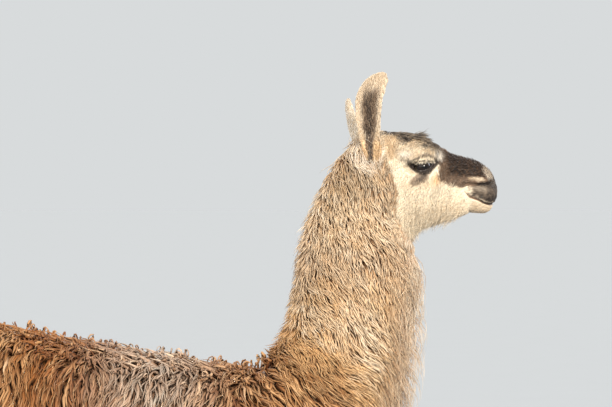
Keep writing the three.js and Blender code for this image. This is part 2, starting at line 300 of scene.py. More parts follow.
def earShell(side):
    mesh, co, root, down = earFacts(side)
    piece = objectFor(f"ear_{side}_shell", mesh)
    co[root] += down * skinPlan["earRoot"]
    setPlaces(mesh, co)
    applyModifier(piece, "SUBSURF", levels=2, render_levels=2)
    return piece


def growEars(piece):
    tree = treeOf(piece)
    for side in sides:
        shell = earShell(side)
        shellTree = treeOf(shell)
        applyModifier(piece, "BOOLEAN", operation="UNION", object=shell, solver="EXACT")
        low, high = np.array(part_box(f"ear_{side}")) + [[-0.03], [0.03]]
        co, edges = arraysOf(piece.data)
        share = np.zeros(len(co))
        for index in np.flatnonzero(((co > low) & (co < high)).all(1)):
            place = Vector(co[index])
            away = max(tree.find_nearest(place)[3], shellTree.find_nearest(place)[3])
            share[index] = ramp(0.008, 0.002, away)
        setPlaces(piece.data, smoothed(co, edges, 8, 0.5 * share))
        bpy.data.objects.remove(shell)


skin, coatPlaces, coatHeights = fleshBody()
coatTree = KDTree(len(coatPlaces))
for index, place in enumerate(coatPlaces):
    coatTree.insert(place, index)
coatTree.balance()


def coatAt(points):  # millimetres from the skin to the outside of the coat
    near = [coatTree.find(place)[1] for place in points]
    return coatHeights[near] * (1 - sum(share for share, _, _ in onEars(points).values()))


growEars(skin)
report(f"skin with the ears has {len(skin.data.polygons)} faces")


# The face: lids, nostrils, mouth and folds, in millimetres from the eye on the side of the head
facePlan = {
    "lidAxis": (-0.5, 4.5),  # middle of the eye's opening
    "lidTilt": 8,  # degrees; its front corner is the higher
    "opening": (20.5, 6.5, 11.5),  # half its length, then above and below its middle
    "almond": 1.75,  # 2 is an ellipse, 1 a diamond
    "lidThick": 2.0,
    "behindEye": 9.0,  # the skin inside the opening, under the eye's surface
    "cleft": (3.6, 2.0),  # depth and half width of the groove under the nose
}
faceLines = {
    "underBrow": [(-50, 15), (-34, 12), (-20, 14), (-10, 18.5), (2, 22.5), (14, 22), (25, 17.5), (33, 12)],
    "underEye": [(-30, -4), (-19, -14), (-6, -19), (7, -18), (18, -11), (27, -1)],
    "tear": [(26, 9), (33, 3), (40, -6), (44, -16)],
    "nostril": [(88, -33), (104, -35), (121, -37), (136, -35.5), (150, -32)],
    "mouth": [
        (90, -54), (97, -60), (108, -66), (121, -70.5), (134, -77), (145, -80), (154, -78), (161, -73),
        (190, -71),
    ],
    "chin": [(97, -86), (102, -95), (106, -106)],
    "cheek": [(60, -45), (50, -70), (30, -95)],
}
faceGrooves = {  # depth and half width at the line's start, middle and end
    "underBrow": ((0.8, 2.6, 1.2), (1.4, 2.0, 1.6)),
    "underEye": ((0.3, 1.5, 0.3), (1.4, 1.9, 1.4)),
    "tear": ((1.6, 1.0, 0.2), (1.6, 2.0, 2.5)),
    "nostril": ((1.5, 9.0, 6.0), (1.6, 3.2, 2.8)),
    "mouth": ((1.5, 3.8, 3.8), (1.4, 1.7, 1.7)),
    "chin": ((0.4, 2.2, 2.0), (3.0, 3.0, 3.0)),
    "cheek": ((0.6, 1.4, 0.4), (6.0, 9.0, 9.0)),
}
faceSwells = {  # middle, half lengths along and across, turn in degrees, height
    "brow": ((4, 33), (22, 8), 0, 2.6),
    "overNostril": ((118, -25), (17, 5.5), -10, 3.4),
    "underNostril": ((112, -44), (20, 6), -4, 1.6),
    "upperLip": ((131, -54), (24, 12), -15, 3.6),
    "lowerLip": ((140, -90), (17, 7), 6, 2.6),
    "eyePouch": ((-8, -26), (14, 7), 20, 1.3),
}


def distanceTo(u, v, line):  # from each point to a bent line, and how far along it that is, 0 to 1
    line = np.array(line, float)
    spans = np.diff(line, axis=0)
    lengths = np.linalg.norm(spans, axis=1)
    best, along = np.full(len(u), 1e9), np.zeros(len(u))
    before = 0
    for (startU, startV), (spanU, spanV), length in zip(line, spans, lengths):
        share = np.clip(((u - startU) * spanU + (v - startV) * spanV) / length**2, 0, 1)
        away = np.hypot(u - startU - share * spanU, v - startV - share * spanV)
        closer = away < best
        best = np.where(closer, away, best)
        along = np.where(closer, (before + share * length) / lengths.sum(), along)
        before += length
    return best, along


def lidPlace(p):  # under 1 in the eye's opening, 1 on the lids' edge, and more outside
    along, up = turned(p[:, 0], p[:, 2], facePlan["lidAxis"], facePlan["lidTilt"])
    half, above, below = facePlan["opening"]
    k = facePlan["almond"]
    return ((np.abs(along) / half) ** k + (np.abs(up) / np.where(up > 0, above, below)) ** k) ** (1 / k)


def nearLids(p, start, end):  # 1 round the eye, falling to 0 at start
    return np.where(np.abs(p[:, 1]) > 25, ramp(start, end, lidPlace(p)), 0)


def eyeSurface(p):  # how far out the eyeball's surface is, falling away beyond its edge
    away = np.hypot(p[:, 0], p[:, 2])
    inside = np.sqrt(np.maximum(eyeRadius**2 - away**2, 0))
    return eyeAside + np.where(away < eyeRadius, inside, (eyeRadius - away) * 0.6)


def faceShare(p):  # 1 near what is drawn on the face
    return np.maximum(nearLids(p, 3.4, 3.0), ramp(62, 72, p[:, 0]) * ramp(-110, -100, p[:, 2]))


def featureShare(p):  # 1 where the finest faces are needed
    share = nearLids(p, 2.3, 2.0)
    for name, reach in (("nostril", 8), ("mouth", 6), ("underBrow", 5)):
        away = distanceTo(p[:, 0], p[:, 2], faceLines[name])[0]
        share = np.maximum(share, ramp(reach + 1, reach, away) * (np.abs(p[:, 1]) > 6))
    return share


def refine(piece, shareOf, times):  # halves the edges where shareOf is 1, and smooths there
    bm = bmesh.new()
    bm.from_mesh(piece.data)
    bmesh.ops.triangulate(bm, faces=bm.faces)
    bm.verts.ensure_lookup_table()
    chosen = shareOf(fromEye(np.array([v.co for v in bm.verts]))) > 0.5
    edges = [e for e in bm.edges if chosen[e.verts[0].index] and chosen[e.verts[1].index]]
    bmesh.ops.subdivide_edges(bm, edges=edges, cuts=1, use_grid_fill=True)
    bmesh.ops.triangulate(bm, faces=bm.faces)
    bm.to_mesh(piece.data)
    bm.free()
    co, edges = arraysOf(piece.data)
    setPlaces(piece.data, smoothed(co, edges, times, 0.5 * shareOf(fromEye(co))))


def shapeFolds(piece):
    co, normals = arraysOf(piece.data)[0], normalsOf(piece.data)
    p = fromEye(co)
    u, v = p[:, 0], p[:, 2]
    head = ramp(-60, -50, u) * ramp(-150, -140, v) * ramp(0, 20, alongHead(p))
    out = np.zeros(len(p))
    for middle, (half, halfAcross), turn, height in faceSwells.values():
        along, across = turned(u, v, middle, turn)
        out += height * np.exp(-((along / half) ** 2) - (across / halfAcross) ** 2)
    for name, ends in faceGrooves.items():
        away, along = distanceTo(u, v, faceLines[name])
        depth, width = (np.interp(along, (0, 0.6, 1), values) for values in ends)
        out -= depth * np.exp(-((away / width) ** 2))
    depth, width = facePlan["cleft"]
    cleft = ramp(-33, -38, v) * ramp(-72, -68, v) * ramp(120, 135, u)
    out -= depth * bump(p[:, 1], 0, width) * cleft
    setPlaces(piece.data, co + normals * (out * head / 1000)[:, None])


def shapeLids(piece):
    p = fromEye(arraysOf(piece.data)[0])
    side = np.sign(p[:, 1])
    q = lidPlace(p)
    near = (q < 2.4) & (np.abs(p[:, 1]) > 30)
    onEdge = near & (q > 0.86) & (q < 1.1)
    for column, centre in zip((0, 2), facePlan["lidAxis"]):  # points close to the lids' edge go onto it
        p[onEdge, column] = centre + (p[onEdge, column] - centre) / q[onEdge]
    q = np.where(onEdge, 1.0, q)
    lid = eyeSurface(p) + facePlan["lidThick"] * (0.55 + 0.45 * ramp(1.0, 1.12, q))
    out = np.abs(p[:, 1])
    out = np.where(q >= 1, out + (lid - out) * ramp(2.2, 1.2, q), eyeSurface(p) - facePlan["behindEye"])
    p[near, 1] = (side * out)[near]
    setPlaces(piece.data, p / 1000 + eyeDatum)


refine(skin, faceShare, 3)
refine(skin, featureShare, 2)
shapeFolds(skin)
shapeLids(skin)
report(f"with the face {len(skin.data.polygons)} faces")


# Markings: how much of each colour of hair, the same for skin and coat
hairColours = {  # pigments of the coat; each is laid over the ones before it
    "cream": "#F2E6D0",
    "taupe": "#BDA586",
    "tan": "#CE9D5B",
    "brown": "#824C14",
    "grey": "#877A6B",
    "dark": "#22150D",
    "pale": "#EEE6DA",
}
pigments = list(hairColours)[1:]
markLines = {
    "darkLid": [(-44, 15), (-33, 9), (-23, 3), (-12, -7), (0, -12), (12, -9), (22, 1), (31, 11)],
    "crown": [
        (-92, 73), (-75, 70), (-63, 64), (-38, 51), (-25, 53), (-13, 58), (2, 49), (24, 37), (36, 31),
        (43, 26),
    ],
    "saddle": [(36, -31), (55, -38), (86, -45), (94, -40), (121, -38), (150, -33)],
}
markSpots = {  # middle, half lengths along and across, turn in degrees
    "overNostril": ((118, -25.5), (21, 6), -6),
    # pale skin beside the nose's tip, drawn out to its front edge as a painted highlight
    "noseRimAndHighlight": ((143, -12), (20, 11), -62),
    "nostril": ((137, -35.5), (13, 4.6), 0),
    # painted highlight on the bulge of the upper lip
    "lipHighlight": ((125, -46), (22, 6.5), -8),
    "lipCorner": ((100, -57), (3, 2.5), 0),
    "underCorner": ((102, -65), (3, 2.5), 0),
    "behindChin": ((104, -97), (3, 2.5), 0),
    "browHighlight": ((-38, 27), (17, 7), -8),
    # painted highlight on the brow
    "foreheadPale": ((37, 26), (9, 12), 30),
    "pouch": ((-8, -27), (21, 10.5), 30),
    "pouchCore": ((-3, -24), (14, 5), 30),
    "tearTan": ((29, -27), (10, 11), 0),
    "cheekTan": ((16, -38), (28, 8), 0),
    "templeTan": ((-68, 45), (20, 30), 0),
}


def earFrame(side):  # an ear's root, axes and length, and its middle and half width from root to tip
    mesh, co, root, down = earFacts(side)
    flat = np.linalg.svd(co - co.mean(0), full_matrices=False)[2][2]
    towards = np.array([0.3, -1, 0]) if side == "right" else np.array([1, 0.4, 0])
    base, facing = co[root].mean(0), flat * np.sign(flat @ towards)
    across = np.cross(-down, facing)
    along, aside = (co - base) @ -down, (co - base) @ across
    length = along.max()
    steps = np.linspace(0, 1, 9)
    near = [aside[np.abs(along / length - step) < 0.09] for step in steps]
    return {
        "base": base, "up": -down, "facing": facing, "across": across, "length": length, "steps": steps,
        "middle": [(n.min() + n.max()) / 2 for n in near],
        "half": [max(np.ptp(n) / 2, 0.004) for n in near],
        "tree": BVHTree.FromPolygons(co.tolist(), [list(f.vertices) for f in mesh.polygons]),
    }


earFrames = {side: earFrame(side) for side in sides}


def onEars(points):  # for each ear: 1 on it, then 0 to 1 from root to tip and -1 to 1 across
    shares = {}
    for side, ear in earFrames.items():
        low, high = np.array(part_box(f"ear_{side}")) + [[-0.02], [0.02]]
        close = np.flatnonzero(((points > low) & (points < high)).all(1))
        share = np.zeros(len(points))
        share[close] = [ramp(7, 3, 1000 * ear["tree"].find_nearest(Vector(points[k]))[3]) for k in close]
        away = points - ear["base"]
        along = np.clip(away @ ear["up"] / ear["length"], 0, 1)
        middle, half = (np.interp(along, ear["steps"], ear[key]) for key in ("middle", "half"))
        shares[side] = (share, along, (away @ ear["across"] - middle) / half)
    return shares


def markings(points, normals):  # a row of shares, 0 to 1, with one for each pigment
    p = fromEye(points)
    u, v, aside = p[:, 0], p[:, 2], np.abs(p[:, 1])
    forward, up, floorHeight = normals[:, 0], normals[:, 2], points[:, 2] * 1000
    broad, patchy, fine = (waves(points, size, seed) for size, seed in ((0.16, 3), (0.035, 4), (0.009, 5)))
    behind = behindCheek(p)
    head = ramp(4, -4, behind + 3 * fine)
    mark = {key: np.zeros(len(p)) for key in pigments}

    def lay(where, **shares):
        for key, share in shares.items():
            mark[key] = np.maximum(mark[key], where * share)

    def spot(name):  # 1 in the middle of a soft-edged ellipse
        middle, size, degrees = markSpots[name]
        along, across = turned(u, v, middle, degrees)
        return np.exp(-(((along / size[0]) ** 2 + (across / size[1]) ** 2) ** 1.5))

    def lineAway(line):
        return distanceTo(u, v, line)[0]

    # trunk: brown, paler at the rear, with painted sky sheen, grey and pale, on the top of the back over
    # its middle
    fromWithers = -0.62 * (u + 286) - 0.78 * (v + 368) + 16 * patchy + 12 * broad
    fromWithers += 14 - 140 * ramp(0.35, 0.9, forward) * ramp(-250, -150, u)
    trunk = ramp(-24, 60, fromWithers) * (1 - 0.8 * ramp(0.45, 0.9, np.clip(-up, 0, 1)))
    trunk *= ramp(640, 800, floorHeight - 60 * broad)
    # the up-facing share of the trunk, where taupe and grey are painted sky sheen
    ridge = trunk * ramp(0.2, 0.8, up)
    fadedAndSheen = bump(u, -568, 120) * ramp(-720, -520, v)
    lay(ramp(-90, 10, fromWithers) * ramp(600, 760, floorHeight) * (1 - head), tan=0.8 - 0.5 * fadedAndSheen)
    lay(
        trunk, taupe=0.16 * ridge + 0.16 * patchy + 0.42 * fadedAndSheen,
        brown=0.58 + 0.36 * ramp(30, 260, fromWithers) + 0.14 * patchy - 0.22 * ramp(-810, -880, u),
    )
    lay(trunk * ramp(-400, -440, v), brown=1.04 * bump(u, -740, 85), dark=0.12 * bump(u, -740, 80))
    # painted sky sheen, grey and pale, on the top of the back over its middle
    lay(ridge * fadedAndSheen, grey=0.45 + 0.35 * patchy, pale=0.22)
    # neck: sandy, greyer down the nape and behind the ears, pale at the throat, with painted shade on its
    # front
    neck = (1 - head) * (1 - trunk) * ramp(560, 900, floorHeight)
    nape, throat = ramp(-0.15, -0.85, forward), ramp(0.35, 0.95, forward)
    behindEar = bump(behind, 92, 62) * bump(v, -30, 55)
    light = bump(v, -335, 55)
    tone = 0.24 * ramp(-100, -330, v) + 0.14 * broad + 0.1 * patchy
    lay(neck, tan=0.36 + tone - 0.18 * nape - 0.24 * throat - 0.14 * light, grey=0.22 * behindEar)
    tone = 0.14 * ramp(-120, -300, v) + 0.12 * patchy
    lay(neck, taupe=0.14 + tone + 0.4 * nape + 0.5 * behindEar - 0.16 * light, pale=0.3 * throat)
    # painted shade on the forward-facing front of the neck: taupe, and grey on the throat
    lay(neck, taupe=0.5 * ramp(0.05, 0.6, forward), grey=0.16 * throat + 0.14 * nape * ramp(-140, -60, v))
    lay(neck, brown=0.2 * bump(v, -205, 50) * ramp(-20, -80, u))
    dusk = ramp(-4, 4, behind + 3 * fine) * ramp(60, 18, behind + 12 * patchy)  # a band behind the cheek
    dusk *= ramp(34, 8, v) * ramp(-135, -75, v) * (1 - throat)
    lay(dusk, taupe=0.66, brown=0.12, grey=0.22 + 0.34 * fine)
    # legs: tan above, cream below, brown down the back of them, grey at the feet
    back = ramp(0, 0.8, -forward) * ramp(380, 620, floorHeight)
    lay(ramp(760, 560, floorHeight), tan=0.4 + 0.2 * broad + 0.1 * patchy, taupe=0.25, brown=0.4 * back)
    lay(ramp(70, 20, floorHeight), grey=0.35)
    # dark saddle over the nose, with pale spots over the nostril and beside the nose's tip, that one partly
    # a painted highlight
    under = heightOf(markLines["saddle"], u)
    saddle = ramp(31, 41, u + 3 * patchy + 2 * fine) * ramp(-3, 3, v - under) * head
    core = ramp(46, 64, u + 4 * patchy) * ramp(-26, -10, v + 0.1 * (u - 60))
    alar = ramp(0.12, 0.95, spot("overNostril") * (aside > 8) + 0.22 * fine)
    # pale grey skin beside the nose's tip, partly a painted highlight on its front edge
    rim = ramp(0.12, 1.0, spot("noseRimAndHighlight") * (aside > 4) + 0.25 * fine)
    bare = np.maximum(0.85 * alar, 0.78 * rim)
    lay(saddle * (1 - bare), brown=0.88, dark=0.52 + 0.42 * core + 0.14 * fine)
    lay(saddle, grey=0.45 * (1 - core) * (1 - bare) + 0.22 * rim)
    lay(rim, pale=0.25, grey=0.16 + 0.2 * fine)
    lay(alar, tan=0.08 + 0.5 * ramp(108, 98, u))
    lay(1, taupe=0.4 * alar + 0.5 * rim)
    # nostrils, lips and chin
    nostril, mouth = lineAway(faceLines["nostril"]), lineAway(faceLines["mouth"])
    # painted shade inside the nostril: dark along its slit and darkest in its hole
    lay(ramp(4.8, 1.8, nostril) * (u > 84) * (aside > 4), dark=0.62 + 0.38 * ramp(108, 124, u))
    lay(ramp(8.5, 5, nostril) * ramp(126, 112, u) * (aside > 4), brown=0.85, dark=0.4)
    lay(ramp(0.15, 0.7, spot("nostril")) * (aside > 4), dark=1)
    overMouth = v - heightOf(faceLines["mouth"], u)
    lip = ramp(92, 113, u + 5 * patchy + 5 * fine) * ramp(3, -3, v - under) * ramp(-1, 2, overMouth)
    lip *= 1 - 0.7 * bump(overMouth, 4.2, 1.5) * ramp(112, 124, u) * ramp(158, 150, u)
    tip = ramp(134, 142, u) * ramp(-19, -26, v)
    # painted highlight on the bulge of the upper lip: less grey, brown and dark in its middle
    lipShade = 1 - 0.4 * ramp(0.1, 0.9, spot("lipHighlight") + 0.15 * fine)
    edge = ramp(18, 6, overMouth) * ramp(104, 124, u)
    lay(lip, grey=0.56 + 0.22 * lipShade)
    lay(lip * lipShade, brown=0.7, dark=0.56 + 0.2 * fine + 0.34 * edge + 0.25 * tip)
    lay(tip * ramp(-52, -44, v), dark=0.85)
    lay(ramp(3.4, 1.4, mouth) * ramp(90, 99, u), brown=0.8)
    lay(ramp(2.8, 1.2, mouth), dark=0.3 * ramp(92, 100, u) + 0.6 * ramp(116, 132, u))
    # painted shade in the creases at the mouth's corner, under it and behind the chin
    for crease in ("lipCorner", "underCorner", "behindChin"):
        lay(spot(crease), dark=0.6)
    lay(ramp(-66, -84, v) * ramp(92, 112, u), grey=0.26, tan=0.32)
    # eyes and brow
    side = aside > 30
    fold = lineAway(faceLines["underBrow"])
    lay(nearLids(p, 1.5, 1.25), dark=1)
    lay(ramp(7.5, 3.8, lineAway(markLines["darkLid"])) * side, dark=0.45 + 0.52 * ramp(-40, -26, u))
    # painted shade in the fold under the brow
    lay(ramp(3.4, 1.0, fold) * ramp(-46, -20, u) * side, dark=0.75)
    lay(ramp(10, 3, fold) * ramp(-16, 0, u) * (v > heightOf(faceLines["underBrow"], u)) * side, grey=0.8)
    lay(ramp(8, 20, v) * head * (1 - saddle), taupe=0.44 + 0.2 * patchy)
    lay(bump(u, -34, 24) * bump(v, -42, 36) * head, taupe=0.3)
    # painted highlight on the brow over the eye's back corner
    lay(spot("browHighlight") * side, pale=0.75)
    lay(ramp(0.05, 0.6, spot("pouch")) * side, brown=0.62, grey=0.7 + 0.2 * patchy)
    lay(ramp(0.1, 0.8, spot("pouchCore")) * side, dark=0.7)
    lay(side, tan=0.6 * spot("tearTan") + 0.3 * spot("cheekTan"))
    lay(side, tan=0.4 * spot("templeTan"))
    lay(head * (1 - saddle) * 0.08, tan=ramp(-0.5, 1, patchy + broad) + ramp(-60, -110, v))
    # forelock and crown
    over = heightOf(markLines["crown"], u) + 5 * patchy
    crown = ramp(-4, 5, v - over) * ramp(-94, -80, u + 5 * patchy) * ramp(46, 34, u) * ramp(62, 52, aside)
    lay(crown, grey=0.78, brown=0.14, dark=0.86 + 0.2 * fine)
    lay(spot("foreheadPale"), pale=0.6)
    # ears: pale backs and rims, dark hollows
    for name, (share, along, across) in onEars(points).items():
        fromBase = (points - earFrames[name]["base"]) * 1000
        away = np.linalg.norm(fromBase, axis=1) * (1 + 0.5 * ramp(0, 25, fromBase[:, 0]))
        for key in ("dark", "brown", "tan"):
            mark[key] *= 1 - 0.75 * ramp(56, 30, away)
        lay(ramp(60, 30, away), pale=0.6)
        facing = normals @ earFrames[name]["facing"]
        across = across - np.interp(along, (0, 0.4, 0.75, 0.9), (-0.15, 0.08, 0, -0.2))
        hollow = ramp(0.05, 0.4, facing) * ramp(0.88, 0.7, along + 0.04 * patchy)
        hollow *= ramp(0.74, 0.4, np.abs(across) / (0.55 + 0.45 * ramp(0, 0.35, along)) + 0.05 * fine)
        for key in mark:
            mark[key] *= 1 - share
        lay(
            share, taupe=0.36 + 0.26 * ramp(0.6, 1, along), brown=0.75 * hollow, grey=0.06 + 0.3 * hollow,
            pale=0.26 * (1 - hollow) * ramp(0.1, 0.4, along),
            tan=0.3 * ramp(0.35, 0.1, along) + 0.3 * (1 - hollow) * ramp(0.05, 0.4, facing),
            dark=hollow * (0.46 + 0.36 * ramp(-0.5, 0.7, fine) + 0.3 * bump(across, 0, 0.22)),
        )
    return np.clip(np.stack([mark[key] for key in pigments], 1), 0, 1)


def setVectors(mesh, name, values):
    mesh.attributes.new(name, "FLOAT_VECTOR", "POINT").data.foreach_set("vector", values.ravel())


def setMarks(mesh, marks):  # a row for each point, or one for each lock
    marks = np.repeat(marks, len(mesh.vertices) // len(marks), 0)
    setVectors(mesh, "markA", marks[:, :3])
    setVectors(mesh, "markB", marks[:, 3:])


# Materials
def linear(code):  # an sRGB hex colour as linear RGBA
    parts = [int(code[k : k + 2], 16) / 255 for k in (1, 3, 5)]
    return (*[c / 12.92 if c <= 0.04045 else ((c + 0.055) / 1.055) ** 2.4 for c in parts], 1)


def setNode(tree, node, settings):  # sets its values, or links them where they come from another node
    for name, value in settings.items():
        if isinstance(value, bpy.types.NodeSocket):
            tree.links.new(value, node.inputs[name])
        elif isinstance(name, int) or name in node.inputs:
            node.inputs[name].default_value = value
        else:
            setattr(node, name, value)


def addNode(tree, kind, settings):
    node = tree.nodes.new("ShaderNode" + kind)
    if kind == "Mix":
        node.data_type = "RGBA"
    setNode(tree, node, settings)
    return node.outputs


def newMaterial(name, settings):
    material = bpy.data.materials.new(name)
    material.use_nodes = True
    surface = material.node_tree.nodes["Principled BSDF"]
    setNode(material.node_tree, surface, settings)
    return material, material.node_tree, surface


def hairColour(tree):  # the pigments mixed by the markings stored on the mesh
    stored = [addNode(tree, "Attribute", {"attribute_name": name})["Vector"] for name in ("markA", "markB")]
    shares = [share for vector in stored for share in addNode(tree, "SeparateXYZ", {0: vector})]
    colour = linear(hairColours["cream"])
    for share, pigment in zip(shares, pigments):
        colour = addNode(tree, "Mix", {0: share, 6: colour, 7: linear(hairColours[pigment])})[2]
    return colour


def dress(piece, material):
    piece.data.materials.clear()
    piece.data.materials.append(material)
    piece.data.shade_smooth()


# The coat: locks of wool and tufts of hair, each a thin closed three-sided taper on the skin
patchSize = 0.003  # of a tuft's patch on the OFBake map


def skinFacts(piece):  # the skin's places, normals and triangles, in arrays
    mesh = piece.data
    mesh.calc_loop_triangles()
    co, normals = arraysOf(mesh)[0], normalsOf(mesh)
    corners = arrayOf(mesh.loop_triangles, "vertices", 3, np.int32)
    a, b, c = (co[corners[:, k]] for k in range(3))
    return {
        "co": co, "normals": normals, "corners": corners, "middles": (a + b + c) / 3,
        "facing": normals[corners].mean(1), "areas": np.linalg.norm(np.cross(b - a, c - a), axis=1) / 2,
        "tree": BVHTree.FromPolygons(co.tolist(), corners.tolist()),
    }


def nearestOn(facts, points):  # the skin's nearest points and smooth normals
    found = [facts["tree"].find_nearest(Vector(place)) for place in points]
    places = np.array([f[0] for f in found])
    corners = facts["corners"][[f[2] for f in found]]
    weights = 1 / (np.linalg.norm(facts["co"][corners] - places[:, None], axis=2) + 1e-5)
    return places, unit((facts["normals"][corners] * weights[:, :, None]).sum(1))


def nodesUnder(places, names):  # which node lies nearest to each place
    corners, faces, owners = [], [], []
    for name in names:
        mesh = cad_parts[name].data
        start = len(corners)
        corners += [v.co.copy() for v in mesh.vertices]
        faces += [[start + k for k in polygon.vertices] for polygon in mesh.polygons]
        owners += [name] * len(mesh.polygons)
    tree = BVHTree.FromPolygons(corners, faces)
    return np.array([owners[tree.find_nearest(Vector(place))[2]] for place in places])


def lieOf(points, normals):  # the way the coat runs, along the skin
    p = fromEye(points)
    u, v = p[:, 0], p[:, 2]
    aside = np.clip(p[:, 1] / 45, -1, 1)

    def flow(x, y, z):
        return np.stack(np.broadcast_arrays(x, y, z, u), 1)[:, :3]

    def turnTo(way, other, share):
        return way + (other - way) * share[:, None]

    spine = ramp(0.35, 0.9, normals[:, 2]) * ramp(-200, -320, u)
    body = flow(-0.16 - 0.1 * spine, 0.8 * aside + 1.3 * spine * np.clip(p[:, 1] / 12, -1, 1), -1)
    neck = flow(0.42 + 0.5 * ramp(-300, -430, v), 0.3 * aside, -1)
    way = turnTo(body, neck, ramp(-410, -310, u) * ramp(-610, -480, v))
    bridge = np.maximum(ramp(-40, 15, v + 0.25 * (u - 40)) * ramp(25, 60, u), ramp(85, 120, u))
    face = turnTo(flow(-0.42, 0.1 * aside, -1), flow(-1, 0.35 * aside, -0.35), bridge)
    face = turnTo(face, flow(-1, 0, -0.7), ramp(-0.3, -0.8, normals[:, 2]) * ramp(40, 90, u))  # chin
    forelock = ramp(46, 60, v + 0.25 * u) * ramp(-80, -50, u) * ramp(40, 20, u)
    face = turnTo(face, flow(1, 0.25 * aside, 0.15), forelock)
    nape = ramp(0.2, -0.5, normals[:, 0]) * ramp(-60, -90, u)
    face = turnTo(face, flow(-0.5, 0.4 * aside, -1), nape)
    way = turnTo(way, face, ramp(30, -10, behindCheek(p)))
    for name, (share, along, _) in onEars(points).items():
        way = turnTo(way, earFrames[name]["up"], share * ramp(0.07, 0.2, along))
    sway = waves(points, 0.12, 21)[:, None] * 0.2 + waves(points, 0.035, 22)[:, None] * 0.2
    way = unit(way) + np.cross(normals, unit(way)) * sway
    return unit(way - normals * (way * normals).sum(1)[:, None])


def cellOf(points, size):  # one number for each cubic cell of space
    return np.floor(points / size).astype(np.int64) @ [1, 10007, 10007**2]


def rootsOn(facts, share, wanted, rng):  # points spread evenly over the skin where share is above 0
    areas = facts["areas"] * share
    chosen = rng.choice(len(areas), wanted * 5, p=areas / areas.sum())
    mix = rng.dirichlet((1, 1, 1), len(chosen))[:, :, None]
    corners = facts["corners"][chosen]
    places = (facts["co"][corners] * mix).sum(1)
    normals = unit((facts["normals"][corners] * mix).sum(1))
    low, high = 0.2, 4.0  # cells of this many times the mean spacing; one root is kept in each
    spacing = (areas.sum() / wanted) ** 0.5
    for _ in range(12):
        middle = (low * high) ** 0.5
        kept = np.unique(cellOf(places, spacing * middle), return_index=True)[1]
        low, high = (middle, high) if len(kept) > wanted else (low, middle)
    return places[kept], normals[kept]


def placesAt(points, normals):  # what the plans' functions ask about places on the skin
    p = fromEye(points)
    return SimpleNamespace(
        points=points, p=p, u=p[:, 0], v=p[:, 2],
        behind=behindCheek(p), forward=normals[:, 0], up=normals[:, 2],
    )


def lockLines(facts, roots, normals, plan, rng):  # middle line, way out and length of each lock
    count, rings = len(roots), plan["rings"]
    at = placesAt(roots, normals)
    heights = np.clip(plan["height"](at), 1.2, 70) * plan["heightAt"](at)
    length = plan["length"] / 1000 * rng.uniform(*plan["vary"], count) * plan["lengthAt"](at)
    lift = rng.uniform(*plan["lift"], count) * heights / 1000
    stand = plan["stand"] * rng.uniform(0, 1, count) ** plan["rare"] * plan["standAt"](at)
    step = length / rings * np.sqrt(1 - np.clip(stand, 0, 0.95) ** 2)
    lean = rng.normal(0, plan["lean"], count)[:, None]
    combed, share = plan["combed"]
    overParting = (rng.uniform(size=count) < share(at))[:, None]
    places, outs = [roots - normals * 0.002], [normals]
    base, out = roots, normals
    for ring in range(1, rings + 1):
        way = lieOf(base, out)
        way = np.where(overParting, unit(combed - out * (out @ combed)[:, None]), way)
        way = way * np.cos(lean) + np.cross(out, way) * np.sin(lean)
        base, out = nearestOn(facts, base + way * step[:, None])
        along = ring / rings
        height = lift * (1 - (1 - along) ** plan["rise"]) + stand * length * along**1.5
        places.append(base + out * height[:, None])
        outs.append(out)
    return np.stack(places, 1), np.stack(outs, 1), length


def waved(lines, outs, length, plan, rng):  # waves or twists the locks, and draws their tips together
    count, rings = lines.shape[0], lines.shape[1]
    along = np.linspace(0, 1, rings)
    swing, size = plan["wave"]
    if swing:
        phase = waves(lines[:, 0], 0.05, plan["seed"]) * 3 + rng.normal(0, plan["loose"], count)
        turn = 2 * math.pi * along[None] * length[:, None] * 1000 / size + phase[:, None]
        across = np.cross(unit(lines[:, -1] - lines[:, 0])[:, None], outs)
        grow = np.minimum(1, along * 2.5)[None, :, None] * swing / 1000
        rng.uniform(size=count)  # not used, but the numbers drawn after it depend on it
        lines = lines + across * np.sin(turn)[:, :, None] * grow
        lines = lines + outs * (np.cos(turn)[:, :, None] + 1) * grow * plan["round"]
    if "coil" in plan:  # ringlets: from a third of the way on the lock turns round on itself
        radius, turns = plan["coil"]
        start = rings // 3
        turn = np.clip((np.arange(rings) - start) / (rings - 1 - start), 0, 1)[None, :, None]
        angle = turn * 2 * math.pi * (turns * rng.uniform(0.7, 1.2, count))[:, None, None]
        radius = (radius / 1000 * rng.uniform(0.4, 1.2, count))[:, None, None] * (1 - 0.3 * turn)
        top = lines[:, np.minimum(np.arange(rings), start)]
        way, out = unit(lines[:, start] - lines[:, start - 1])[:, None], outs[:, start][:, None]
        lines = top + way * np.sin(angle) * radius + out * (1 - np.cos(angle)) * radius
        lines = lines + np.cross(way, out) * turn * rng.normal(0, 0.006, count)[:, None, None]
    spread, pull = plan["clump"]
    if pull:
        cells = cellOf(lines[:, 0], spread / 1000)
        _, first, member = np.unique(cells, return_index=True, return_inverse=True)
        leader = lines[first][member.ravel()]
        lines = lines + (leader - lines) * (pull * along**1.5)[None, :, None]
    return lines


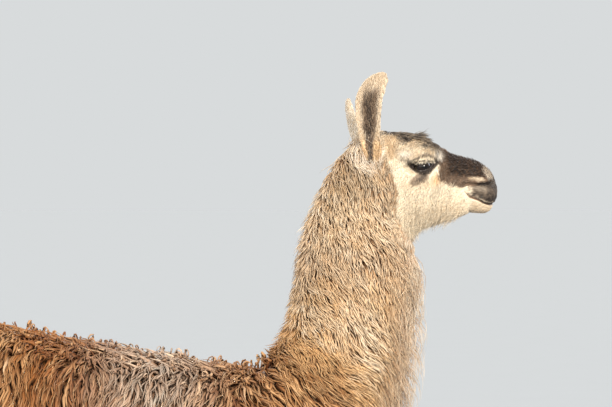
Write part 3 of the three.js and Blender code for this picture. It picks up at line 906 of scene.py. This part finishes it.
def lockMesh(name, roots, lines, outs, plan, rng):  # all the locks of a piece as one mesh
    count, rings = lines.shape[0], lines.shape[1] - 1
    along = np.linspace(0, 1, rings + 1)
    ways = unit(np.gradient(lines, axis=1).reshape(-1, 3)).reshape(lines.shape)
    across = unit(np.cross(ways, outs).reshape(-1, 3)).reshape(lines.shape)
    thick = np.cross(across, ways)
    twist = rng.normal(0, 0.35, count)[:, None] + rng.normal(0, plan["twist"], count)[:, None] * along
    width = plan["width"] / 1000 * rng.uniform(0.65, 1.25, count)[:, None]
    width = width * np.interp(along, (0, 0.25, 0.6, 1), plan["taper"])[None]
    threeSides = []
    for x, y in ((-0.5, -0.3), (0.5, -0.3), (0, 0.7)):  # two edges and the ridge
        y *= plan["flat"]
        sideways = (x * np.cos(twist) - y * np.sin(twist)) * width
        outwards = (x * np.sin(twist) + y * np.cos(twist)) * width
        threeSides.append(lines + across * sideways[:, :, None] + thick * outwards[:, :, None])
    tube = np.stack(threeSides, 2)[:, :rings]  # the last ring is drawn to the tip
    verts = np.concatenate([tube.reshape(count, rings * 3, 3), lines[:, -1:]], 1)
    verts[:, :, 2] = np.maximum(verts[:, :, 2], 0.0004)  # nothing reaches through the floor
    perLock, last = rings * 3 + 1, (rings - 1) * 3
    faces, patch = [], []  # a lock's own small patch: round it one way, along it the other
    for corner in range(last):
        side, low = corner % 3, corner // 3 / rings
        beside, high = corner - side + (side + 1) % 3, (corner // 3 + 1) / rings
        faces.append((corner, beside, beside + 3, corner + 3))
        patch += [(side / 3, low), ((side + 1) / 3, low), ((side + 1) / 3, high), (side / 3, high)]
    for side in range(3):
        faces.append((last + side, last + (side + 1) % 3, rings * 3))
        patch += [(side / 3, 1 - 1 / rings), ((side + 1) / 3, 1 - 1 / rings), ((side + 0.5) / 3, 1)]
    faces.append((2, 1, 0))
    patch += [(0.1, 0), (0.5, -0.12), (0.9, 0)]  # the root's end, just below the rest
    loops, totals = np.concatenate(faces), np.array([len(face) for face in faces])
    offsets = np.arange(count)[:, None]
    starts = offsets * len(loops) + totals.cumsum() - totals
    mesh = bpy.data.meshes.new(name)
    mesh.vertices.add(count * perLock)
    mesh.vertices.foreach_set("co", verts.ravel())
    mesh.loops.add(count * len(loops))
    mesh.loops.foreach_set("vertex_index", (offsets * perLock + loops).ravel().astype(np.int32))
    mesh.polygons.add(count * len(faces))
    mesh.polygons.foreach_set("loop_start", starts.ravel().astype(np.int32))
    mesh.polygons.foreach_set("loop_total", np.tile(totals, count).astype(np.int32))
    mesh.update(calc_edges=True)
    places = unwrapOf(roots)[:, None] + (np.array(patch) - 0.5)[None] * patchSize
    mesh.uv_layers.new(name="OFBake").data.foreach_set("uv", places.ravel())
    strand = np.zeros((count, perLock, 3))
    strand[:, :-1, 0] = np.repeat(along[:rings], 3)
    strand[:, -1, 0] = 1
    strand[:, :-1, 1] = np.tile((0, 1, 0.5), rings)
    strand[:, -1, 1] = 0.5
    strand[:, :, 2] = rng.uniform(size=count)[:, None]
    setVectors(mesh, "strand", strand)
    return mesh


def unwrapOf(roots):  # round the middle line one way and along it the other, 0 to 1
    middle = roots.mean(0)
    axis = np.linalg.svd(roots - middle, full_matrices=False)[2][0]
    along = (roots - middle) @ axis
    first = unit(np.cross(axis, (0.31, 0.95, 0.11))[None])[0]
    second = np.cross(axis, first)
    flatAlong = (along - along.min()) / np.ptp(along)
    order = np.clip((flatAlong * 12).astype(int), 0, 11)
    centres = np.array([roots[order == k].mean(0) if (order == k).any() else middle for k in range(12)])
    offset = roots - centres[order]
    angle = np.arctan2(offset @ first, offset @ second) / (2 * math.pi) + 0.5
    return np.stack([0.02 + 0.96 * angle, 0.02 + 0.96 * flatAlong], 1)


def growCoat(name, facts, plan):
    rng = np.random.default_rng(plan["seed"])
    share = np.isin(facts["nodes"], plan["on"]) * plan["where"](placesAt(facts["middles"], facts["facing"]))
    roots, normals = rootsOn(facts, share, plan["count"], rng)
    lines, outs, length = lockLines(facts, roots, normals, plan, rng)
    lines = waved(lines, outs, length, plan, rng)
    markAt = lines[:, lines.shape[1] // 2] + rng.normal(0, plan["blur"] / 1000, roots.shape)
    marks = markings(markAt, normals)
    lighter = rng.uniform(size=len(roots)) < plan["lighter"]  # some locks are faded by the sun
    tan, brown, dark = (pigments.index(key) for key in ("tan", "brown", "dark"))
    marks[lighter, brown] *= plan["fadedAndSheen"]
    marks[lighter, dark] *= plan["fadedAndSheen"]
    marks[lighter, tan] = np.maximum(marks[lighter, tan], 0.3)
    order = np.argsort(roots @ np.array(plan["split"]))
    for index, part in enumerate(np.array_split(order, plan["pieces"])):
        pieceName = f"{name}_{index + 1}" if plan["pieces"] > 1 else name
        mesh = lockMesh(pieceName, roots[part], lines[part], outs[part], plan, rng)
        setMarks(mesh, marks[part])
        piece = objectFor(pieceName, mesh)
        dress(piece, plan["material"])
        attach(piece, "root")
    report(f"{name}: {len(roots)} locks, {len(roots) * (6 * plan['rings'] - 2)} triangles")


# Hair and wool
# Wool is crimped keratin fibre in greasy locks: matt, a little sheen at grazing angles, darker and warmer
# at the root than at the tip as painted shade deep in the coat. Fibres are 0.03 mm thick, so bundles of
# them are drawn instead.
woolPlan = {
    "roughness": 0.68, "sheen": 0.02, "paintedRootShade": "#C29C76", "spread": 0.13,
    "lockWidth": 5, "bundle": 0.6, "lockLength": 60, "crimp": 10, "relief": 0.5,
}
# Short guard hair grows flat and is smoother and a little glossier than wool.
shortHairPlan = {
    "roughness": 0.55, "sheen": 0.05, "paintedRootShade": "#E8DCCB", "spread": 0.1,
    "lockWidth": 2.5, "bundle": 0.5, "lockLength": 18, "crimp": 6, "relief": 0.2,
}


def hairMaterial(name, plan):
    material, tree, surface = newMaterial(name, {
        "Roughness": plan["roughness"], "IOR": 1.55, "Sheen Weight": plan["sheen"],
        "Sheen Roughness": 0.4, "Sheen Tint": linear("#FFF3DC"),
    })
    strand = addNode(tree, "Attribute", {"attribute_name": "strand"})["Vector"]
    along, across, chance = addNode(tree, "SeparateXYZ", {0: strand})
    colour, rootShadeColour = hairColour(tree), linear(plan["paintedRootShade"])
    # painted shade towards each lock's root, deep in the coat
    root = addNode(tree, "Mix", {"blend_type": "MULTIPLY", 0: 1.0, 6: colour, 7: rootShadeColour})[2]
    toTip = addNode(tree, "MapRange", {0: along, 1: 0.0, 2: 0.7})[0]
    colour = addNode(tree, "Mix", {0: toTip, 6: root, 7: colour})[2]
    bundles = (plan["lockWidth"] / plan["bundle"], plan["lockLength"] / plan["crimp"], 60)
    fibres = addNode(tree, "CombineXYZ", {0: across, 1: along, 2: chance})[0]
    fibres = addNode(tree, "VectorMath", {"operation": "MULTIPLY", 0: fibres, 1: bundles})[0]
    grain = addNode(tree, "TexNoise", {"Vector": fibres, "Scale": 1.0, "Detail": 2.0})[0]
    grainShade = addNode(tree, "MapRange", {0: grain, 1: 0.3, 2: 0.7, 3: 0.8, 4: 1.16})[0]
    bleach = addNode(tree, "MapRange", {0: along, 3: 0.94, 4: 1.14})[0]
    vary = addNode(tree, "MapRange", {0: chance, 3: 1 - plan["spread"], 4: 1 + plan["spread"]})[0]
    shade = addNode(tree, "Math", {"operation": "MULTIPLY", 0: vary, 1: grainShade})[0]
    shade = addNode(tree, "Math", {"operation": "MULTIPLY", 0: shade, 1: bleach})[0]
    relief = {"Strength": 0.6, "Distance": plan["relief"] / 1000, "Height": grain}
    setNode(tree, surface, {
        "Base Color": addNode(tree, "VectorMath", {"operation": "SCALE", 0: colour, "Scale": shade})[0],
        "Normal": addNode(tree, "Bump", relief)[0],
    })
    return material


# Hide under the coat: what shows between the tufts is the flat undercoat in the coat's own colours,
# with painted shade where wool covers it, and smooth bare skin at lids, nostrils and lips.
hidePlan = {"roughness": 0.66, "bareRoughness": 0.42, "tuft": 2.4, "relief": 0.6, "shadeUnderWool": 0.78}


def hideMaterial():
    material, tree, surface = newMaterial("llamaHide", {"IOR": 1.45, "Sheen Weight": 0.05})
    covered = addNode(tree, "Attribute", {"attribute_name": "underCoat"})["Fac"]
    bare = addNode(tree, "Attribute", {"attribute_name": "bare"})["Fac"]
    place = addNode(tree, "TexCoord", {})["Object"]
    noise = {"Vector": place, "Scale": 1000 / hidePlan["tuft"], "Detail": 3.0, "Roughness": 0.6}
    tufts = addNode(tree, "TexNoise", noise)[0]
    vary = addNode(tree, "MapRange", {0: tufts, 1: 0.3, 2: 0.7, 3: 0.82, 4: 1.12})[0]
    # painted shade on the skin under the wool
    woolShade = addNode(tree, "MapRange", {0: covered, 3: 1.0, 4: hidePlan["shadeUnderWool"]})[0]
    shade = addNode(tree, "Math", {"operation": "MULTIPLY", 0: vary, 1: woolShade})[0]
    shaded = {"operation": "SCALE", 0: hairColour(tree), "Scale": shade}
    relief = {"Strength": 0.5, "Distance": hidePlan["relief"] / 1000, "Height": tufts}
    gloss = {0: bare, 3: hidePlan["roughness"], 4: hidePlan["bareRoughness"]}
    setNode(tree, surface, {
        "Base Color": addNode(tree, "VectorMath", shaded)[0],
        "Normal": addNode(tree, "Bump", relief)[0],
        "Roughness": addNode(tree, "MapRange", gloss)[0],
    })
    return material


def bareShare(points):  # 1 where there is skin with next to no hair: nostrils, lips' edges and lids
    p = fromEye(points)
    u, v = p[:, 0], p[:, 2]
    nostril = ramp(3.2, 1.6, distanceTo(u, v, faceLines["nostril"])[0]) * (u > 100)
    lips = ramp(2.4, 1.2, distanceTo(u, v, faceLines["mouth"])[0]) * ramp(100, 112, u)
    return np.maximum.reduce([nostril, lips, nearLids(p, 1.25, 1.15)])


def finishSkin(piece):
    mesh = piece.data
    co, normals = arraysOf(mesh)[0], normalsOf(mesh)
    setMarks(mesh, markings(co, normals))
    for name, share in (("underCoat", ramp(6, 16, coatAt(co))), ("bare", bareShare(co))):
        mesh.attributes.new(name, "FLOAT", "POINT").data.foreach_set("value", share)
    dress(piece, hideMaterial())
    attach(piece, "root")
    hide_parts(*fleshNodes, "ear_right", "ear_left")


def faceLength(at):  # shortest on the nose and lips, longest under the jaw and on the cheeks' back
    nose = ramp(40, 120, at.u)
    jaw = ramp(-20, -100, at.v) * (1 - nose)
    return (1 + 0.45 * jaw) * (1 - 0.6 * nose) * (1 - 0.6 * nearLids(at.p, 3.5, 1.5))


def faceHeight(at):  # fuller on the bridge of the nose
    bridge = ramp(36, 56, at.u) * ramp(-24, -6, at.v + 0.12 * (at.u - 60))
    return np.clip(coatAt(at.points), 1.2, 12) + 4.5 * bridge


def onCrown(at):
    over = at.v - heightOf(markLines["crown"], at.u)
    return ramp(-4, 6, over) * ramp(-82, -60, at.u) * ramp(46, 34, at.u)


def roundEars(at):
    away = [np.linalg.norm(at.points - ear["base"], axis=1) * 1000 for ear in earFrames.values()]
    return ramp(56, 30, np.minimum(*away))


def underJaw(at):
    return ramp(0.2, 0.6, -at.up) * ramp(-45, -25, at.u) * ramp(95, 70, at.u) * ramp(-60, -75, at.v)


finishSkin(skin)
facts = skinFacts(skin)
nodeNames = sorted(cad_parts)
facts["nodes"] = nodesUnder(facts["middles"], nodeNames)
report("skin is marked")

upperLegs = [n for n in nodeNames if n.startswith("leg_") and n.endswith("_upper")]
lowerLegs = [n for n in nodeNames if n.endswith("_lower") or n.startswith(("foot_", "nail_"))]
headNodes = ["head", "eye_right", "eye_left"]
earNodes = ["ear_right", "ear_left"]

locks = {  # lengths in millimetres; each plan says only where it differs from this
    "where": lambda at: 1,  # share of the skin on those nodes that it grows on
    "pieces": 1, "split": (0, 0, 1),  # shared out along this way
    "lengthAt": lambda at: 1, "vary": (0.75, 1.2),  # what the length is multiplied by
    "height": lambda at: coatAt(at.points), "heightAt": lambda at: 1,
    "rise": 1.7,  # how soon a lock leaves the skin; "lift" is the share of the height it gets to
    "stand": 0, "standAt": lambda at: 1, "rare": 3,  # how upright, and how few are
    "combed": ((0, 0, 1), lambda at: 0),  # the way over a parting, and the share that lies so
    "lean": 0.12, "loose": 0.5, "twist": 0.3, "flat": 0.4, "taper": (0.7, 1, 0.75, 0.1),
    "wave": (0, 1), "round": 0.4,  # swing sideways and its length, and how far it stands out as well
    "clump": (1, 0),  # its size, and the pull into it at the tip
    "blur": 3, "lighter": 0, "fadedAndSheen": 0.6,  # of the markings; share of faded locks, and their shade
}
wool = dict(locks, slot="neck_wool", material=hairMaterial("llamaWool", woolPlan))
shortHair = dict(locks, slot="short_hair", material=hairMaterial("llamaShortHair", shortHairPlan))
coatPlans = {
    "neckWool": dict(
        wool, on=["neck", *headNodes], where=lambda at: ramp(-2, 6, at.behind), count=15000, pieces=3,
        lengthAt=lambda at: 0.55 + 0.45 * ramp(5, 110, at.behind),  # shorter behind the cheeks
        heightAt=lambda at: 1 - 0.8 * ramp(0.1, 0.75, at.forward),  # flatter under the fringe
        rings=5, length=52, width=3.6, flat=0.45, lift=(0.7, 1.03), stand=0.3, wave=(2.6, 40),
        clump=(13, 0.35), twist=0.5, lean=0.2, lighter=0.14, seed=11,
    ),
    "throatFringe": dict(
        wool, on=["neck", "trunk"], count=1250, rings=6, length=84, width=1.2, flat=0.6, lift=(0.35, 1.12),
        where=lambda at: ramp(0.3, 0.75, at.forward) * ramp(0, 30, at.behind) * ramp(-640, -560, at.v),
        rise=3, wave=(4.5, 70), clump=(17, 0.6), lean=0.35, seed=18,
    ),
    "trunkWool": dict(
        wool, slot="trunk_wool", on=["trunk"], count=6700, pieces=2, split=(1, 0, 0), rings=5, length=88,
        width=11, flat=0.38, lift=(0.5, 0.9), wave=(4.0, 66), clump=(22, 0.3), loose=0.25, twist=0.35,
        combed=((-1, 0, 0), lambda at: 0.6 * ramp(0.8, 0.95, at.up)), lean=0.08, lighter=0.1, seed=12,
    ),
    "trunkStrands": dict(  # finer locks over the broad ones
        wool, slot="trunk_wool", on=["trunk", "tail"], count=6500, pieces=2, split=(1, 0, 0), rings=5,
        length=72, width=3.8, flat=0.5, lift=(0.75, 1.0), stand=0.08, wave=(4.4, 54), clump=(17, 0.75),
        loose=0.35, twist=0.5, lighter=0.2, seed=12,
    ),
    "backCurls": dict(
        wool, slot="trunk_wool", on=["trunk"], count=360, rings=13, length=60, width=6.5, flat=0.5,
        where=lambda at: ramp(0.7, 0.95, at.up) * ramp(-250, -330, at.u), lift=(0.6, 0.95), rise=7,
        coil=(7.0, 1.4),  # radius and turns
        clump=(17, 0.5), lean=0.9, lighter=0.2, seed=21,
    ),
    "legWool": dict(
        wool, slot="leg_wool", on=upperLegs, count=5400, rings=4, length=56, width=6.4, lift=(0.5, 0.95),
        stand=0.08, wave=(2.4, 56), clump=(18, 0.45), twist=0.4, lighter=0.12, seed=13,
    ),
    "tailWool": dict(
        wool, slot="trunk_wool", on=["tail"], count=1400, rings=6, length=95, width=6.0, flat=0.45,
        lift=(0.6, 1.1), stand=0.12, wave=(3.5, 50), clump=(18, 0.5), twist=0.8, lighter=0.12, seed=14,
    ),
    "shinHair": dict(
        shortHair, on=lowerLegs, count=10000, rings=2, length=20, width=2.7, flat=0.35, lift=(0.3, 0.8),
        rise=1.5, twist=0.2, seed=15,
    ),
    "faceHair": dict(
        shortHair, on=headNodes, count=14200, pieces=2, split=(0, 1, 0), rings=3, length=18, width=1.4,
        where=lambda at: (1 - ramp(0.2, 0.6, bareShare(at.points))) * ramp(8, -2, at.behind),
        lengthAt=faceLength, height=faceHeight, flat=0.45, lift=(0.25, 0.95), rise=1.3, wave=(0.5, 16),
        clump=(5, 0.3), blur=1, seed=16,
    ),
    "forelock": dict(  # stands up over the eyes and lies flat before them
        shortHair, on=headNodes, where=onCrown, count=1100, rings=4, length=32, width=1.7, flat=0.5,
        standAt=lambda at: 0.05 + 0.75 * bump(at.u, -19, 11) * ramp(40, 15, np.abs(at.p[:, 1])),
        lift=(0.4, 0.95), stand=0.95, rare=0.6, wave=(1.6, 30), clump=(8, 0.5), lean=0.25, blur=2,
        lighter=0.3, fadedAndSheen=0.3, seed=19,
    ),
    "earTufts": dict(
        shortHair, on=[*headNodes, *earNodes, "neck"], where=roundEars, count=1000, rings=4, length=26,
        width=1.6, flat=0.5, lift=(0.6, 1.2), stand=0.5, combed=((0, 0, 1), lambda at: 0.5), wave=(1.4, 26),
        clump=(9, 0.4), lean=0.4, blur=2, seed=22,
    ),
    "jawFringe": dict(
        shortHair, on=headNodes, where=underJaw, count=1300, rings=3, length=32, width=0.75, flat=0.6,
        lift=(0.6, 1.3), stand=0.65, wave=(1.0, 26), clump=(7, 0.3), lean=0.4, blur=2, seed=20,
    ),
    "earHair": dict(
        shortHair, on=earNodes, count=4600, rings=3, length=17, width=1.6, height=lambda at: 1.9,
        lift=(0.5, 1.1), rise=2.0, stand=0.15, wave=(0.5, 14), clump=(5, 0.35), lean=0.25, blur=1,
        lighter=0.2, fadedAndSheen=0.5, seed=17,
    ),
}

for name, plan in coatPlans.items():
    growCoat(name, facts, plan)


# Eyes and nails
# The eyeball is nearly black: a wide lying pupil in a dark brown iris flecked by soft noise, and a
# darker rim, all under one clear wet cornea, whose bulge and low roughness give a small sharp light.
eyePlan = {
    "rings": 40, "around": 64, "inset": 0.15, "cornea": 1.2, "corneaRadius": 13.5, "roughness": 0.04,
    "forward": 0.18, "up": 0.02,  # the way it looks, for 1 to the side
    "rim": (11.5, 14.5), "pupil": (6.6, 8.2), "pupilSquash": 2.1, "fleck": 5 / 6,
    "colours": ("#0E0806", "#24150D", "#0B0705", "#050304"),  # iris, its flecks, its rim and the pupil
}


def eyeMaterial():
    material, tree, surface = newMaterial("eyeball", {"Roughness": eyePlan["roughness"], "IOR": 1.376})
    place = addNode(tree, "Attribute", {"attribute_name": "iris"})["Vector"]
    noise = addNode(tree, "TexNoise", {"Vector": place, "Scale": 1 / eyePlan["fleck"], "Detail": 3.0})[0]
    away = addNode(tree, "VectorMath", {"operation": "LENGTH", 0: place})["Value"]
    squash = (1, eyePlan["pupilSquash"], 1)
    slit = addNode(tree, "VectorMath", {"operation": "MULTIPLY", 0: place, 1: squash})[0]
    slitAway = addNode(tree, "VectorMath", {"operation": "LENGTH", 0: slit})["Value"]
    (rimStart, rimEnd), (pupilStart, pupilEnd) = eyePlan["rim"], eyePlan["pupil"]
    rim = addNode(tree, "MapRange", {0: away, 1: rimStart, 2: rimEnd})[0]
    pupil = addNode(tree, "MapRange", {0: slitAway, 1: pupilStart, 2: pupilEnd, 3: 1.0, 4: 0.0})[0]
    colour, *layers = (linear(code) for code in eyePlan["colours"])
    for share, layer in zip((noise, rim, pupil), layers):
        colour = addNode(tree, "Mix", {0: share, 6: colour, 7: layer})[2]
    setNode(tree, surface, {"Base Color": colour})
    return material


def makeEye(side, sign, material):
    outward = Vector((eyePlan["forward"], sign, eyePlan["up"])).normalized()
    turn = outward.to_track_quat("Z", "X").to_matrix()
    radius = eyeRadius - eyePlan["inset"]
    bm = bmesh.new()
    bmesh.ops.create_uvsphere(bm, u_segments=eyePlan["around"], v_segments=eyePlan["rings"], radius=radius)
    iris = []
    for v in bm.verts:
        away = math.hypot(v.co.x, v.co.y)
        if v.co.z > 0:
            v.co.z += eyePlan["cornea"] * max(0, 1 - (away / eyePlan["corneaRadius"]) ** 2)
        local = turn @ v.co
        iris.append((local.x, local.z, 0 if v.co.z > 0 else 20))  # the back is far from the pupil
        v.co = eyeCentre[side] + local / 1000
    mesh = meshOf(f"eyeball_{side}", bm)
    setVectors(mesh, "iris", np.array(iris) - [outward.x * eyeRadius, 0, 0])
    piece = objectFor(f"eyeball_{side}", mesh)
    dress(piece, material)
    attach(piece, "root")
    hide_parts(f"eye_{side}")


lashPlan = dict(
    locks, count=110, length=10, width=0.7, rings=4, flat=0.7, taper=(1, 1, 0.7, 0.2), seed=30,
    reach=(-0.8, 0.95),  # over the lid's length, -1 to 1
    edge=1.05, band=0.4,  # they start here on the lid, where 1 is its edge, and fill this much
    fan=0.5, way=(0.1, 1.1, -0.42),  # forward, outward and up at the root
    bend=(-0.16, -0.3),  # outward and up, added at each step
)


def makeLashes(side, sign):  # pale lashes that hang from the upper lid over the top of the eye
    rng = np.random.default_rng(lashPlan["seed"] + (side == "left"))
    count, rings = lashPlan["count"], lashPlan["rings"]
    half, above, _ = facePlan["opening"]
    k = facePlan["almond"]
    forward, outward, upward = lashPlan["way"]
    outBend, upBend = lashPlan["bend"]
    across = rng.uniform(*lashPlan["reach"], count)
    edge = lashPlan["edge"] + rng.uniform(0, lashPlan["band"], count)
    lid = edge * (1 - np.abs(across) ** k) ** (1 / k) * above
    p = np.zeros((count, 3))
    p[:, 0], p[:, 2] = turned(across * half * edge, lid, (0, 0), -facePlan["lidTilt"])
    p[:, ::2] += facePlan["lidAxis"]
    p[:, 1] = (eyeSurface(p) + facePlan["lidThick"] * 0.8) * sign
    length = lashPlan["length"] * rng.uniform(0.6, 1.1, count) * (1 - 0.4 * np.abs(across))
    sideways = across * lashPlan["fan"] + rng.normal(forward, 0.16, count)
    drop = rng.normal(upward, 0.14, count)
    places, way = [p], unit(np.stack([sideways, np.full(count, sign * outward), drop], 1))
    for _ in range(rings):
        places.append(places[-1] + way * (length / rings)[:, None])
        way = unit(way + np.array([0, outBend * sign, upBend]))
    lines = np.stack(places, 1) / 1000 + eyeDatum
    outs = np.broadcast_to(np.array([0, sign, 0.3]) / 1.05, lines.shape)
    mesh = lockMesh(f"lashes_{side}", lines[:, 0], lines, outs, lashPlan, rng)
    marks = np.zeros((count, len(pigments)))
    for key, most, power in (("taupe", 0.5, 1), ("grey", 0.6, 1), ("dark", 0.75, 3)):
        marks[:, pigments.index(key)] = rng.uniform(0, most, count) ** power
    marks[:, pigments.index("pale")] = 0.2
    setMarks(mesh, marks)
    piece = objectFor(f"lashes_{side}", mesh)
    dress(piece, shortHair["material"])
    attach(piece, "root")


# Nails are dark horn: half-matt keratin, clouded brown, with fine growth rings raised across them.
hornPlan = {  # millimetres
    "roughness": 0.38, "ring": 2.618, "ringHeight": 0.4, "cloud": 11.11, "colours": ("#2A231D", "#6A5846"),
}


def hornMaterial():
    material, tree, surface = newMaterial("hornNail", {"Roughness": hornPlan["roughness"], "IOR": 1.55})
    place = addNode(tree, "TexCoord", {})["Object"]
    scale = 2 * math.pi / 20 * 1000 / hornPlan["ring"]  # a wave texture has 20 radians to a unit
    wave = {0: place, "Scale": scale, "Distortion": 2.0, "bands_direction": "X"}
    rings = addNode(tree, "TexWave", wave)["Fac"]
    noise = {"Vector": place, "Scale": 1000 / hornPlan["cloud"], "Detail": 4.0}
    cloud = addNode(tree, "TexNoise", noise)[0]
    dark, light = (linear(code) for code in hornPlan["colours"])
    relief = {"Strength": 0.25, "Distance": hornPlan["ringHeight"] / 1000, "Height": rings}
    setNode(tree, surface, {
        "Base Color": addNode(tree, "Mix", {0: cloud, 6: dark, 7: light})[2],
        "Normal": addNode(tree, "Bump", relief)[0],
    })
    return material


def makeNail(node, material):
    piece = objectFor(node.replace("nail", "hornNail"), weldedNode(node, 0))
    applyModifier(piece, "SUBSURF", levels=2, render_levels=2)
    piece.data.name = piece.name
    dress(piece, material)
    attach(piece, "root")
    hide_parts(node)


eyeFinish, hornFinish = eyeMaterial(), hornMaterial()
for side, sign in sides.items():
    makeEye(side, sign, eyeFinish)
for side, sign in sides.items():
    makeLashes(side, sign)
for name in nodeNames:
    if name.startswith("nail_"):
        makeNail(name, hornFinish)
report("eyes and nails made")


# Floor, light and camera
lights = {  # the way it comes from, its width in degrees, strength and colour
    "key": ((1.4, -4.5, 2.0), 14, 4.35, "#FFF6E8"),
    "fill": ((-3.0, -4.5, 1.2), 60, 1.4, "#FFFAF0"),
    "rimLeft": ((-2.7, 3.2, 2.4), 30, 1.6, "#F6F6FF"),
    "rimRight": ((3.6, 2.2, 2.0), 30, 1.1, "#F4F4FF"),
}
room = {"colour": "#D8DBDC", "floorWidth": 300, "cloud": 1 / 3, "floorShades": (0.976, 1.006)}  # metres
cameraPlan = {"distance": 6.5, "span": 1.316, "aimX": 0.291, "aimZ": 1.452, "height": 1.50, "sensor": 36}


def makeLights():
    for name, (place, width, strength, colour) in lights.items():
        light = bpy.data.lights.new(name, "SUN")
        light.angle, light.energy = math.radians(width), strength
        light.color = linear(colour)[:3]
        lamp = objectFor(name, light)
        lamp.location = place
        lamp.rotation_euler = Vector(place).to_track_quat("Z", "Y").to_euler()


def makeWorld():
    world = bpy.data.worlds.new("studio")
    bpy.context.scene.world = world
    world.use_nodes = True
    world.node_tree.nodes["Background"].inputs[0].default_value = linear(room["colour"])


def floorColour():  # the paint that looks as bright as the room, so no line shows where they meet
    around = np.array(linear(room["colour"])[:3])
    onFloor = around.copy()
    for place, _, strength, colour in lights.values():
        slope = place[2] / math.hypot(*place)
        onFloor += np.array(linear(colour)[:3]) * strength * slope / math.pi
    return around / onFloor


def makeFloor():  # matt floor paint, with no gloss, whose faint clouds keep it from looking empty
    bm = bmesh.new()
    bmesh.ops.create_grid(bm, x_segments=1, y_segments=1, size=room["floorWidth"] / 2)
    floor = objectFor("floor", meshOf("floor", bm))
    matt = {"Roughness": 1.0, "IOR": 1.45, "Specular IOR Level": 0.0}
    material, tree, surface = newMaterial("paintedFloor", matt)
    place = addNode(tree, "TexCoord", {})["Object"]
    cloud = addNode(tree, "TexNoise", {"Vector": place, "Scale": 1 / room["cloud"], "Detail": 4.0})[0]
    dark, light = ((*(floorColour() * share), 1) for share in room["floorShades"])
    setNode(tree, surface, {"Base Color": addNode(tree, "Mix", {0: cloud, 6: dark, 7: light})[2]})
    floor.data.materials.append(material)


def makeCamera():
    camera = objectFor("camera", bpy.data.cameras.new("camera"))
    camera.data.sensor_width = cameraPlan["sensor"]
    camera.data.lens = cameraPlan["sensor"] * cameraPlan["distance"] / cameraPlan["span"]
    camera.data.clip_end = 200
    aim = Vector((cameraPlan["aimX"], 0, cameraPlan["aimZ"]))
    camera.location = (cameraPlan["aimX"], -cameraPlan["distance"], cameraPlan["height"])
    camera.rotation_euler = (aim - camera.location).to_track_quat("-Z", "Y").to_euler()
    bpy.context.scene.camera = camera


makeFloor()
makeWorld()
makeLights()
makeCamera()
bpy.context.scene.view_settings.view_transform = "Standard"

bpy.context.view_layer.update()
report("done")
